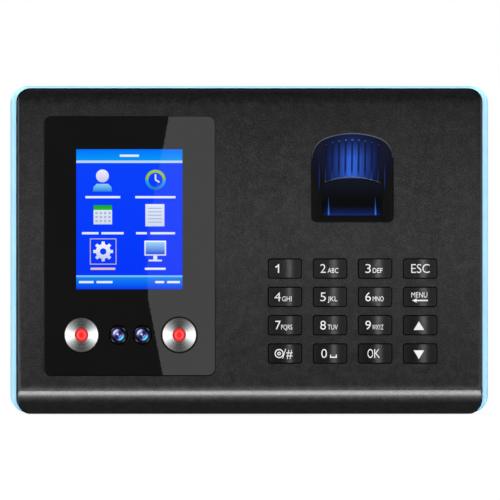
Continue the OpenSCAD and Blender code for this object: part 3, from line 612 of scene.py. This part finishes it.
def disc(x, y, r, steps=32):
    turns = [2 * math.pi * i / steps for i in range(steps)]
    return polygon(*((x + r * math.cos(a), y + r * math.sin(a)) for a in turns))


def bar(x0, y0, x1, y1, width):
    """A straight stroke from one point to another."""
    half = width / math.hypot(x1 - x0, y1 - y0) / 2
    nx, ny = (y0 - y1) * half, (x1 - x0) * half
    return polygon((x0 + nx, y0 + ny), (x0 - nx, y0 - ny), (x1 - nx, y1 - ny), (x1 + nx, y1 + ny))


def frame_shape(x0, y0, x1, y1, width):
    """The outline of a rectangle, with the width inside it."""
    inner = (x0 + width, y0 + width, x1 - width, y1 - width)
    points = box_shape(x0, y0, x1, y1)[0] + box_shape(*inner)[0]
    return points, [(i, (i + 1) % 4, (i + 1) % 4 + 4, i + 4) for i in range(4)]


def join(*shapes):
    points, faces = [], []
    for shape_points, shape_faces in shapes:
        faces += [tuple(i + len(points) for i in face) for face in shape_faces]
        points += shape_points
    return points, faces


def text_outline(text, weight=0.0):
    """Points and faces of a text in the built-in typeface, in its own units."""
    curve = bpy.data.curves.new("lettering", "FONT")
    curve.body = text
    curve.offset = weight
    curve.resolution_u = 5
    holder = show("lettering", curve)
    mesh = bpy.data.meshes.new_from_object(
        holder.evaluated_get(bpy.context.evaluated_depsgraph_get()))
    points = [(v.co.x, v.co.y) for v in mesh.vertices]
    faces = [tuple(p.vertices) for p in mesh.polygons]
    bpy.data.objects.remove(holder)
    bpy.data.curves.remove(curve)
    bpy.data.meshes.remove(mesh)
    return points, faces


CAP_HEIGHT = max(y for _, y in text_outline("E")[0])


def lettering(text, x0, x1, y0, y1, weight=0.0):
    """A word fitted into a box: y0 is its baseline side and y1 the top of its capitals."""
    points, faces = text_outline(text, weight)
    left, right = min(p[0] for p in points), max(p[0] for p in points)
    scale_x, scale_y = (x1 - x0) / (right - left), (y1 - y0) / CAP_HEIGHT
    return [(x0 + (px - left) * scale_x, y0 + py * scale_y) for px, py in points], faces


# -------- lens panel
def make_lens_cover():
    """The glass in front of the display: black print with a clear window."""
    bm = bmesh.new()
    bm.from_mesh(NODES["lens_panel"].data)
    bmesh.ops.remove_doubles(bm, verts=bm.verts, dist=WELD)
    bmesh.ops.dissolve_limit(bm, angle_limit=FLAT_ANGLE, verts=bm.verts, edges=bm.edges)
    sharp = [e for e in bm.edges if e.is_manifold and e.calc_face_angle() > SHARP_ANGLE]
    eyes = [middle(e + side) for e in ("ir_led_", "camera_lens_") for side in ("left", "right")]

    def at_eye(edge):
        centre = (edge.verts[0].co + edge.verts[1].co) / 2
        return any(math.hypot(centre.x - eye.x, centre.z - eye.z) < 9 * MM for eye in eyes)

    holes = [edge for edge in sharp if at_eye(edge)]
    outline = [edge for edge in sharp if edge not in holes]
    bmesh.ops.bevel(bm, geom=outline, offset=0.25 * MM, segments=3, affect="EDGES", profile=0.5)
    holes = [edge for edge in holes if edge.is_valid]
    bmesh.ops.bevel(bm, geom=holes, offset=0.08 * MM, segments=2, affect="EDGES", profile=0.5)
    window = (PICTURE_X - PICTURE_W / 2, PICTURE_X + PICTURE_W / 2,
              PICTURE_Z - PICTURE_H / 2, PICTURE_Z + PICTURE_H / 2)
    for value, normal in zip(window, ((1, 0, 0), (1, 0, 0), (0, 0, 1), (0, 0, 1))):
        bmesh.ops.bisect_plane(bm, geom=bm.verts[:] + bm.edges[:] + bm.faces[:],
                               plane_co=tuple(value * n for n in normal), plane_no=normal)
    for face in bm.faces:
        centre = face.calc_center_median()
        clear = window[0] < centre.x < window[1] and window[2] < centre.z < window[3]
        face.material_index = 1 if clear else 0
        face.smooth = abs(face.normal.y) < 0.999
    mesh = mesh_from(bm, "lens_cover")
    clear = Paint("lens_clear", (0.97, 0.98, 1.0), 0.0, Transmission_Weight=1.0, IOR=1.18)
    smear = clear.noise(30.0, 3.0)
    clear.feed("Roughness", clear.span(smear, 0.4, 0.8, 0.0, 0.02))
    make_piece("lens_cover", mesh, [SLOT_MATERIALS["lens_black"], clear.material],
               replaced=["lens_panel"])


make_lens_cover()


# -------- picture on the display
class Picture:
    """Flat coloured shapes on the display's front. Places are mm right and down from its corner."""

    STEP = 0.008 * MM

    def __init__(self):
        self.points, self.faces, self.colors = [], [], []
        self.layer = 0

    def draw(self, shape, *colors):
        """Adds a shape above the others. Two colours run from its top to its bottom."""
        points, faces = shape
        self.layer += 1
        low = min(p[1] for p in points)
        span = max(p[1] for p in points) - low
        first, last = srgb(colors[0]), srgb(colors[-1])
        for u, v in points:
            share = (v - low) / span
            self.colors.append([a + (b - a) * share for a, b in zip(first, last)])
        base = len(self.points)
        self.faces += [tuple(i + base for i in face) for face in faces]
        self.points += [(PICTURE_X - PICTURE_W / 2 + u * MM,
                         LCD_FRONT - 0.02 * MM - self.layer * self.STEP,
                         PICTURE_Z + PICTURE_H / 2 - v * MM) for u, v in points]

    def dashes(self, v, *spans, color="E4EEFF"):
        """Plain strokes where a label stands."""
        self.draw(join(*(box_shape(u0, v - 0.45, u1, v + 0.45) for u0, u1 in spans)), color)

    def finish(self):
        mesh = mesh_of("screen_picture", self.points, self.faces)
        tint = mesh.color_attributes.new("tint", "FLOAT_COLOR", "POINT")
        for item, color in zip(tint.data, self.colors):
            item.color = (*color, 1)
        bm = bmesh.new()
        bm.from_mesh(mesh)
        for face in bm.faces:
            if face.normal.y > 0:
                face.normal_flip()
        bm.to_mesh(mesh)
        bm.free()
        paint = Paint("screen_lit", (0, 0, 0), 0.5, Specular_IOR_Level=0.0,
                      Emission_Strength=1.08)
        color = paint.add("ShaderNodeVertexColor", layer_name="tint").outputs["Color"]
        x, _, z = paint.axes()
        cells = []
        for axis in (x, z):
            wave = paint.math("FRACT", paint.math("DIVIDE", axis, PICTURE_W / 240))
            edge = paint.math("ABSOLUTE", paint.math("SUBTRACT", wave, 0.5))
            cells.append(paint.span(edge, 0.36, 0.5, 1.0, 0.82))
        paint.feed("Emission Color", paint.dimmed(color, paint.product(*cells)))
        make_piece("screen_picture", mesh, [paint.material])


def draw_person(p, u, v):
    p.draw(polygon((u - 3.9, v + 5.4), (u - 3.6, v + 3.4), (u - 2.3, v + 2.2), (u + 2.3, v + 2.2),
                   (u + 3.6, v + 3.4), (u + 3.9, v + 5.4)), "8FD4F4", "0078E0")
    p.draw(disc(u, v - 1.0, 2.6), "F4F1F8", "C6C6EE")


def draw_clock(p, u, v):
    p.draw(ring(u, v, 2.9, 4.1, 180, 360, 30), "A8CC3C", "86B31E")
    p.draw(ring(u, v, 2.9, 4.1, 0, 180, 30), "2FA8EC", "1B6FC8")
    p.draw(join(bar(u, v, u, v - 2.3, 0.6), bar(u, v, u + 1.6, v + 0.9, 0.6)), "E4EEFF")


def draw_calendar(p, u, v):
    p.draw(box_shape(u - 3.8, v - 3.6, u + 3.7, v + 4.2), "E6EEFA", "D4DCEC")
    p.draw(box_shape(u - 3.8, v - 3.6, u + 3.7, v - 1.6), "14A028", "2CB838")
    days = [(u - 3.1 + 1.75 * (k % 4), v - 0.8 + 1.6 * (k // 4)) for k in range(12)]
    p.draw(join(*(box_shape(a, b, a + 1.0, b + 0.9) for a, b in days)), "A8B8D4")


def draw_page(p, u, v):
    p.draw(box_shape(u - 3.9, v - 4.5, u + 3.8, v + 4.5), "E2EAF8", "D0DAEE")
    lines = [v - 3.0 + 1.4 * k for k in range(5)]
    p.draw(join(*(box_shape(u - 2.9, b, u + 2.8, b + 0.45) for b in lines)), "A9B7DC")


def draw_gear(p, u, v):
    p.draw(frame_shape(u - 5.4, v - 5.3, u + 5.4, v + 5.3, 0.38), "B9AEC0")
    teeth = [(4.0 * math.cos(k * math.pi / 4), 4.0 * math.sin(k * math.pi / 4)) for k in range(4)]
    p.draw(join(*(bar(u - a, v - b, u + a, v + b, 1.3) for a, b in teeth)), "F6F8FF", "C2CCEC")
    p.draw(disc(u, v, 3.0), "F6F8FF", "C2CCEC")
    p.draw(disc(u, v, 1.3), "0A3CF8")


def draw_monitor(p, u, v):
    p.draw(box_shape(u - 4.5, v - 4.4, u + 4.3, v + 1.7), "F2F6FF", "C6D2EE")
    p.draw(box_shape(u - 3.9, v - 3.8, u + 3.7, v + 1.1), "9AD6F6", "0C36D8")
    p.draw(join(box_shape(u - 0.9, v + 1.7, u + 0.7, v + 3.3),
                box_shape(u - 2.8, v + 3.3, u + 2.6, v + 4.0)), "DDE6FA")


def make_picture():
    """A plain menu without words: a title bar, six signs with one chosen, and two hints."""
    p = Picture()
    w, h = PICTURE_W / MM, PICTURE_H / MM
    header, footer = 4.55, 51.5
    p.draw(box_shape(0, 0, w, h), "0A42FB", "0334F6")
    p.draw(box_shape(0, 0, w, header), "0072FC", "0898F2")
    p.draw(box_shape(0, header, w, header + 1.0), "B8D6F8")
    p.draw(box_shape(0, footer, w, h), "1088F0", "0237F0")
    p.draw(box_shape(0, footer - 0.45, w, footer + 0.3), "7CC0F6")
    p.dashes(2.6, (17.6, 25.4))
    left, right = 10.6, 32.1
    draw_person(p, left, 11.8)
    draw_clock(p, right, 12.4)
    draw_calendar(p, left + 0.2, 26.2)
    draw_page(p, right - 0.2, 26.7)
    draw_gear(p, left + 0.3, 41.4)
    draw_monitor(p, right, 41.4)
    p.dashes(19.4, (3.7, 17.8), (23.9, 40.2))
    p.dashes(34.0, (2.3, 9.0), (10.2, 19.2), (24.2, 28.6), (30.0, 40.0))
    p.dashes(48.4, (5.8, 15.8), color="E6BFB4")
    p.dashes(48.4, (27.8, 36.2))
    p.dashes(53.8, (1.1, 7.0), (8.2, 14.7), (32.0, 35.6), (36.8, 42.0))
    p.finish()


make_picture()


# -------- finger reader
CROWN_HALF = FINGER_HALF - SHOULDER_R
CROWN_R = ((CROWN_HALF ** 2 + FINGER_RISE ** 2 - SHOULDER_R ** 2)
           / (2 * (FINGER_RISE - SHOULDER_R)))
CROWN_Z = FINGER_TOP - CROWN_R
WINDOW_R = (WINDOW_HALF ** 2 + WINDOW_RISE ** 2) / (2 * WINDOW_RISE)


def window_reach(x):
    """Distance up the reading window to its upper edge, x from the middle."""
    return WINDOW_SIDE + WINDOW_RISE - WINDOW_R + math.sqrt(WINDOW_R ** 2 - x ** 2)


def window_edge(x):
    """The point of the window's upper edge, x from the middle."""
    reach = window_reach(x)
    return Vector((FINGER_X + x, FACE_Y + WINDOW_DEPTH + reach * math.sin(WINDOW_TILT),
                   WINDOW_BOTTOM + reach * math.cos(WINDOW_TILT)))


def arch_point(angle):
    """A point of the recess arch: angle runs from -1 at the left end to 1 at the right."""
    touch = math.asin(CROWN_HALF / (CROWN_R - SHOULDER_R))
    swing = abs(angle) * math.pi / 2
    sign = 1 if angle >= 0 else -1
    if swing < touch:
        return Vector((FINGER_X + sign * CROWN_R * math.sin(swing), FACE_Y,
                       CROWN_Z + CROWN_R * math.cos(swing)))
    return Vector((FINGER_X + sign * (CROWN_HALF + SHOULDER_R * math.sin(swing)), FACE_Y,
                   FINGER_TOP - FINGER_RISE + SHOULDER_R * math.cos(swing)))


def swept(name, path, radii, material):
    """A bead along a path, with its own radius at each point."""
    sides = 10
    vertices, faces = [], []
    for i, (point, radius) in enumerate(zip(path, radii)):
        before, after = path[max(i - 1, 0)], path[min(i + 1, len(path) - 1)]
        along = (after - before).normalized()
        across = along.cross(Vector((0, 1, 0))).normalized()
        up = across.cross(along)
        for k in range(sides):
            a = 2 * math.pi * k / sides
            vertices.append(point + (across * math.cos(a) + up * math.sin(a)) * radius)
        if i:
            base = (i - 1) * sides
            for k in range(sides):
                n = (k + 1) % sides
                faces.append((base + k, base + n, base + sides + n, base + sides + k))
    faces.append(tuple(range(sides))[::-1])
    faces.append(tuple(range(len(vertices) - sides, len(vertices))))
    mesh = mesh_of(name, vertices, faces, smooth=True)
    bm = bmesh.new()
    bm.from_mesh(mesh)
    bmesh.ops.recalc_face_normals(bm, faces=bm.faces[:])
    bm.to_mesh(mesh)
    bm.free()
    make_piece(name, mesh, [material])


def make_reader_details():
    """Painted highlights: light grey beads along the edges of the recess and window, and bright
    beads at the groove ends; and the tapered light guides.
    """
    # painted highlight: the beads' light grey stands for light caught on the black edges; the face
    # light adds some real light on them too
    rim = grained("rim_highlight_grey", (0.24, 0.24, 0.235), 0.4, 1500, 0.1, 0.005)
    steps = 72
    shares = [(i / steps) * 2 - 1 for i in range(steps + 1)]
    out = 0.2 * MM
    # each bead thins towards its ends, so the painted highlight fades there
    path, radii = [], []
    for share in shares:
        here = arch_point(share)
        outward = Vector((here.x - FINGER_X, 0, here.z - CROWN_Z)).normalized()
        path.append(here + outward * out + Vector((0, 0.12 * MM, 0)))
        radii.append((0.24 - 0.19 * abs(share) ** 1.5) * MM)
    swept("recess_rim", path, radii, rim)
    half = WINDOW_HALF - 0.5 * MM
    path = [window_edge(half * share) + Vector((0, -0.1 * MM, 0.12 * MM)) for share in shares]
    radii = [(0.22 - 0.16 * share ** 2) * MM for share in shares]
    swept("window_rim", path, radii, rim)

    # A small light bead where each groove starts, a painted glint on the groove's rounded end
    beads = bmesh.new()
    for k in range(FLUTE_COUNT):
        x = (k - (FLUTE_COUNT - 1) / 2) * FLUTE_PITCH
        top = Vector((FINGER_X + x, FACE_Y, CROWN_Z + math.sqrt(CROWN_R ** 2 - x ** 2)))
        slope = window_edge(x) - top
        at = top + slope.normalized() * 2.9 * MM + Vector((0, -0.05 * MM, 0))
        size = (0.36 - 0.022 * abs(x) / MM) * MM
        bmesh.ops.create_icosphere(beads, subdivisions=3, radius=size,
                                   matrix=Matrix.Translation(at))
    for face in beads.faces:
        face.smooth = True
    bead = grained("groove_glint_blue", (0.30, 0.33, 0.42), 0.35, 1500, 0.1, 0.005)
    make_piece("groove_beads", mesh_from(beads, "groove_beads"), [bead])

    # Light guides: a wedge on the window each side, wide at the bottom and pointed at the top
    bm = bmesh.new()
    normal = Vector((0, -math.cos(WINDOW_TILT), math.sin(WINDOW_TILT)))
    up = Vector((0, math.sin(WINDOW_TILT), math.cos(WINDOW_TILT)))
    foot = Vector((FINGER_X, FACE_Y + WINDOW_DEPTH, WINDOW_BOTTOM))
    rows = 12
    for side in (-9.5, 9.5):
        loops = []
        for i in range(rows + 1):
            share = i / rows
            wide = (0.36 - 0.27 * share ** 0.8) * MM
            proud = (0.35 - 0.3 * share) * MM
            at = foot + up * (0.4 + 7.6 * share) * MM + Vector((side * MM, 0, 0))
            loops.append([bm.verts.new(at + Vector((dx, 0, 0)) + normal * n) for dx, n in (
                (-wide, -0.6 * MM), (-wide, proud * 0.5), (-wide * 0.4, proud),
                (wide * 0.4, proud), (wide, proud * 0.5), (wide, -0.6 * MM))])
        for a, b in zip(loops, loops[1:]):
            for k in range(6):
                n = (k + 1) % 6
                bm.faces.new((a[k], a[n], b[n], b[k]))
        bm.faces.new(loops[0])
        bm.faces.new(loops[-1][::-1])
    bmesh.ops.recalc_face_normals(bm, faces=bm.faces[:])
    make_piece("light_guides", mesh_from(bm, "light_guides"),
               [SLOT_MATERIALS["light_guide_blue"]], replaced=["sensor_light_guides"])


make_reader_details()


# -------- legends on the keys
INK = gloss("legend_ink", (0.86, 0.86, 0.86), 0.42)
DIGIT = (-1.75, 1.8)
LETTER = (-1.75, 0.2)
THIN = -0.004
BARREL_R = (KEY_HALF_W ** 2 + KEY_SAG ** 2) / (2 * KEY_SAG)


def figure_one(left):
    """The figure 1 with a flag: an upright and a slanted stroke."""
    low, high = DIGIT
    return polygon((left + 1.0, low), (left + 1.55, low), (left + 1.55, high), (left + 1.15, high),
                   (left + 0.75, high - 0.55), (left, high - 1.0), (left, high - 1.5),
                   (left + 0.6, high - 1.3), (left + 1.0, high - 1.0))


def key_shapes():
    """The flat shapes printed on each key, in mm from its centre."""
    shapes = {"key_1": figure_one(-3.95)}
    for figure, text, start, left, right in (
            ("2", "ABC", -4.0, -1.0, 3.3), ("3", "DEF", -4.0, -1.0, 3.0),
            ("4", "GHI", -4.3, -1.2, 2.6), ("5", "JKL", -4.0, -1.0, 2.9),
            ("6", "MNO", -4.0, -1.0, 3.4), ("7", "PQRS", -4.0, -1.6, 2.9),
            ("8", "TUV", -4.0, -1.0, 3.1), ("9", "WXYZ", -4.0, -1.3, 3.3)):
        shapes["key_" + figure] = join(lettering(figure, start, -1.75, *DIGIT, THIN),
                                       lettering(text, left, right, *LETTER))
    shapes.update({
        "key_0": join(lettering("0", -3.6, -1.3, *DIGIT, THIN), bar(-0.1, -1.5, 2.75, -1.5, 0.5),
                      bar(0.15, -1.4, 0.15, -0.45, 0.5), bar(2.5, -1.4, 2.5, -0.45, 0.5)),
        "key_esc": lettering("ESC", -3.65, 3.8, *DIGIT, THIN),
        "key_ok": join(lettering("O", -3.1, -0.85, *DIGIT, THIN),
                       lettering("K", -0.4, 1.9, *DIGIT, THIN)),
        "key_star": join(ring(-2.4, 0, 1.4, 1.85), ring(-2.4, 0, 0.3, 0.75, steps=20),
                         bar(-1.0, -2.0, 0.25, 1.9, 0.3), lettering("#", 0.45, 3.0, *DIGIT)),
        "key_menu": join(lettering("MENU", -3.6, 2.85, -0.25, 1.9),
                         bar(-1.7, -1.45, 3.1, -1.45, 0.55),
                         polygon((-3.4, -1.45), (-1.25, -2.35), (-1.7, -1.45), (-1.25, -0.55))),
        "key_up": polygon((-2.7, -1.95), (1.6, -1.95), (-0.55, 1.55)),
        "key_down": polygon((-2.7, 1.3), (-0.55, -2.2), (1.6, 1.3)),
    })
    return shapes


def make_legend(node, shape):
    """Raised print that follows a key's barrel-shaped top."""
    centre, front = middle(node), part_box(node)[0].y
    points, faces = shape
    bm = bmesh.new()
    corners = [bm.verts.new((x * MM, 0, z * MM)) for x, z in points]
    for face in faces:
        bm.faces.new([corners[i] for i in face])
    bmesh.ops.remove_doubles(bm, verts=bm.verts, dist=0.001 * MM)
    step = 0.4 * MM
    for k in range(-12, 13):
        bmesh.ops.bisect_plane(bm, geom=bm.verts[:] + bm.edges[:] + bm.faces[:],
                               plane_co=(k * step, 0, 0), plane_no=(1, 0, 0))
    for face in bm.faces:
        if face.normal.y > 0:
            face.normal_flip()
    backs = bmesh.ops.extrude_face_region(bm, geom=bm.faces[:], use_keep_orig=True)["geom"]
    sunk = {v for v in backs if isinstance(v, bmesh.types.BMVert)}
    for face in [f for f in backs if isinstance(f, bmesh.types.BMFace)]:
        face.normal_flip()
    for vert in bm.verts:
        x, z = vert.co.x, vert.co.z
        rise = BARREL_R - math.sqrt(BARREL_R ** 2 - x ** 2)
        inset = 0.05 * MM if vert in sunk else -0.03 * MM
        vert.co = (centre.x + x, front + rise + inset, centre.z + z)
    bmesh.ops.recalc_face_normals(bm, faces=bm.faces[:])
    name = node + "_legend"
    make_piece(name, mesh_from(bm, name), [INK], body=node + "_cap")


KEY_SHAPES = key_shapes()
for key_node, key_shape in KEY_SHAPES.items():
    make_legend(key_node, key_shape)
    bevel_edges(key_node, 0.22 * MM)


# -------- floor, lights, camera
CAMERA_DISTANCE = 6.0
CAMERA_TURN = math.radians(0.95)
FRAME_WIDTH = 202.5 * MM
FLOOR_REACH = 40.0


def make_camera():
    """Far in front and very slightly to the left, with a lens as long as that needs."""
    data = bpy.data.cameras.new("camera")
    data.lens = data.sensor_width * CAMERA_DISTANCE / FRAME_WIDTH
    data.clip_end = 100
    camera = show("camera", data)
    away = Vector((-math.sin(CAMERA_TURN), -math.cos(CAMERA_TURN), 0))
    target = Vector((0, FACE_Y, 0))
    camera.location = target + away * CAMERA_DISTANCE
    camera.rotation_euler = (-away).to_track_quat("-Z", "Y").to_euler()
    bpy.context.scene.camera = camera
    return camera


def make_floor():
    """A plain pale floor just under the object."""
    reach, z = FLOOR_REACH, FLOOR_Z - 0.05 * MM
    corners = box_shape(-reach, -reach, reach, reach)[0]
    mesh = mesh_of("floor", [(x, y, z) for x, y in corners], [(0, 1, 2, 3)])
    floor = show("floor", mesh)
    paint = Paint("floor_white", (0.9, 0.9, 0.9), 0.9, Specular_IOR_Level=0.0,
                  Emission_Color=(1, 1, 1, 1), Emission_Strength=0.75)
    dim = paint.add("ShaderNodeBsdfDiffuse", {"Color": (0.3, 0.3, 0.3, 1)})
    seen = paint.add("ShaderNodeLightPath").outputs["Is Camera Ray"]
    mixed = paint.add("ShaderNodeMixShader",
                      {0: seen, 1: dim.outputs[0], 2: paint.shader.outputs[0]})
    paint.links.new(mixed.outputs[0], paint.nodes["Material Output"].inputs["Surface"])
    mesh.materials.append(paint.material)
    floor.visible_glossy = False


def make_world():
    """White behind the object and soft light round it, with a dim front to reflect."""
    world = bpy.data.worlds.new("studio")
    bpy.context.scene.world = world
    world.use_nodes = True
    nodes, links = world.node_tree.nodes, world.node_tree.links
    output = nodes["World Output"]
    path = nodes.new("ShaderNodeLightPath")
    place = nodes.new("ShaderNodeTexCoord")
    split = nodes.new("ShaderNodeSeparateXYZ")
    links.new(place.outputs["Generated"], split.inputs[0])

    def banded(value, stops):
        """A background whose grey follows value through (position, grey) stops."""
        ramp = nodes.new("ShaderNodeValToRGB")
        elements = ramp.color_ramp.elements
        while len(elements) < len(stops):
            elements.new(0.5)
        for element, (position, grey) in zip(elements, stops):
            element.position = position
            element.color = (grey, grey, grey, 1)
        links.new(value, ramp.inputs[0])
        node = nodes.new("ShaderNodeBackground")
        links.new(ramp.outputs[0], node.inputs["Color"])
        return node

    def mix(factor, a, b):
        node = nodes.new("ShaderNodeMixShader")
        links.new(factor, node.inputs[0])
        links.new(a.outputs[0], node.inputs[1])
        links.new(b.outputs[0], node.inputs[2])
        return node

    def math_node(operation, *inputs):
        node = nodes.new("ShaderNodeMath")
        node.operation = operation
        for i, value in enumerate(inputs):
            if isinstance(value, float):
                node.inputs[i].default_value = value
            else:
                links.new(value, node.inputs[i])
        return node.outputs[0]

    # Reflections: dim to the front, brighter to both sides and behind
    sideways = math_node("ABSOLUTE", split.outputs[0])
    reflected = banded(sideways, [(0.25, 0.05), (0.55, 0.30), (0.75, 1.0), (0.95, 0.6)])
    # Soft light: less from above than from below
    height = math_node("MULTIPLY_ADD", split.outputs[2], 0.5, 0.5)
    soft = banded(height, [(0.0, 0.45), (0.5, 0.45), (0.75, 0.34), (1.0, 0.3)])
    seen = nodes["Background"]
    seen.inputs["Color"].default_value = (1, 1, 1, 1)
    lit = mix(path.outputs["Is Glossy Ray"], soft, reflected)
    final = mix(path.outputs["Is Camera Ray"], lit, seen)
    links.new(final.outputs[0], output.inputs["Surface"])


def link_light(light, lit):
    """A light or lit piece falls on the named pieces only, and only the shell blocks it."""
    for part, names in (("receiver", lit), ("blocker", ["front_shell"])):
        group = bpy.data.collections.new(light.name + "_" + part)
        for name in names:
            group.objects.link(NODES[name] if name in NODES else bpy.data.objects[name])
        setattr(light.light_linking, part + "_collection", group)


def area_light(name, place, target, size, power, lit, skipped=""):
    """A rectangular soft light on some pieces. skipped is the kind of ray that doesn't see it."""
    data = bpy.data.lights.new(name, "AREA")
    data.shape = "RECTANGLE"
    data.size, data.size_y = size
    data.energy = power
    light = show(name, data)
    light.location = place
    light.rotation_euler = (Vector(target) - Vector(place)).to_track_quat("-Z", "Y").to_euler()
    light.visible_camera = False
    if skipped:
        setattr(light, "visible_" + skipped, False)
    link_light(light, lit)
    return light


def polar(azimuth, elevation, distance):
    """A place round the front's centre: azimuth 0 is straight in front, 90 to the right."""
    a, e = math.radians(azimuth), math.radians(elevation)
    return Vector((math.sin(a) * math.cos(e) * distance,
                   FACE_Y - math.cos(a) * math.cos(e) * distance,
                   math.sin(e) * distance))


def make_lens_card(camera):
    """A card that the lens panel mirrors right of a bent edge, for a camera at its place."""
    edge = [(-32.8, 54), (-41.3, 10), (-41.8, -7), (-41.2, -20), (-35.2, -51.2)]
    outline = [(-31.5, 75)] + edge + [(-31, -75), (60, -75), (60, 75)]
    card_y = FACE_Y - 0.5
    run = (card_y - LENS_FRONT) / (camera.location.y - LENS_FRONT)
    points = [(x * MM + (x * MM - camera.location.x) * run, card_y,
               z * MM + (z * MM - camera.location.z) * run) for x, z in outline]
    mesh = mesh_of("lens_card", points, [tuple(range(len(points)))])
    card = show("lens_card", mesh)
    paint = Paint("lens_card_white", (0, 0, 0), 1.0, Emission_Color=(1, 1, 1, 1),
                  Emission_Strength=1.33)
    mesh.materials.append(paint.material)
    card.visible_camera = card.visible_diffuse = card.visible_shadow = False
    link_light(card, ["lens_cover"])


def make_lights(camera):
    centre = (0, FACE_Y, 0)
    keys = list(KEY_SHAPES)
    # Upright strip that the barrel-shaped keys reflect right of their middle
    area_light("key_strip", polar(8.5, 0, 4.0), centre, (0.62, 3.0), 19, keys, "diffuse")
    # Band of light on the chin's bend
    area_light("chin_strip", polar(0, -48, 0.8), (0, FACE_Y, -58 * MM), (2.0, 0.16), 31,
               ["front_shell"], "diffuse")
    # Soft light near the face, which fades towards its top and its chin
    face = area_light("face_fill", (0, FACE_Y - 0.3, 9 * MM), (0, FACE_Y, 9 * MM),
                      (1.2, 0.08), 0.145,
                      ["front_shell", "recess_rim", "window_rim", "groove_beads"] + keys, "glossy")
    face.data.spread = math.radians(16.7)
    # Even light for the printed legends
    area_light("legend_fill", polar(0, 0, 1.5), centre, (0.6, 0.6), 19,
               [key + "_legend" for key in keys], "glossy")
    make_lens_card(camera)
    # Both sides: light for the coloured trim, then strips that the reflectors' dishes mirror
    dishes = ["ir_reflector_left", "ir_reflector_right"]
    for name, azimuth, elevation, size, power, lit in (
            ("trim_left", -25, 8, (0.8, 0.8), 14, ["trim_frame"]),
            ("trim_right", 25, 8, (0.8, 0.8), 14, ["trim_frame"]),
            ("dish_left", -48, 0, (0.6, 0.8), 0.9, dishes),
            ("dish_right", 48, 0, (0.6, 0.8), 0.9, dishes)):
        area_light(name, polar(azimuth, elevation, 1.2), centre, size, power, lit)


bpy.context.scene.view_settings.view_transform = "Standard"
make_floor()
make_world()
make_lights(make_camera())
# The lit reader is seen, and lights only the edge of the shell round it
for lit_piece in (NODES["finger_guide"], NODES["sensor_prism"], bpy.data.objects["light_guides"]):
    link_light(lit_piece, ["front_shell"])

bevel_edges("front_shell", 0.25 * MM)
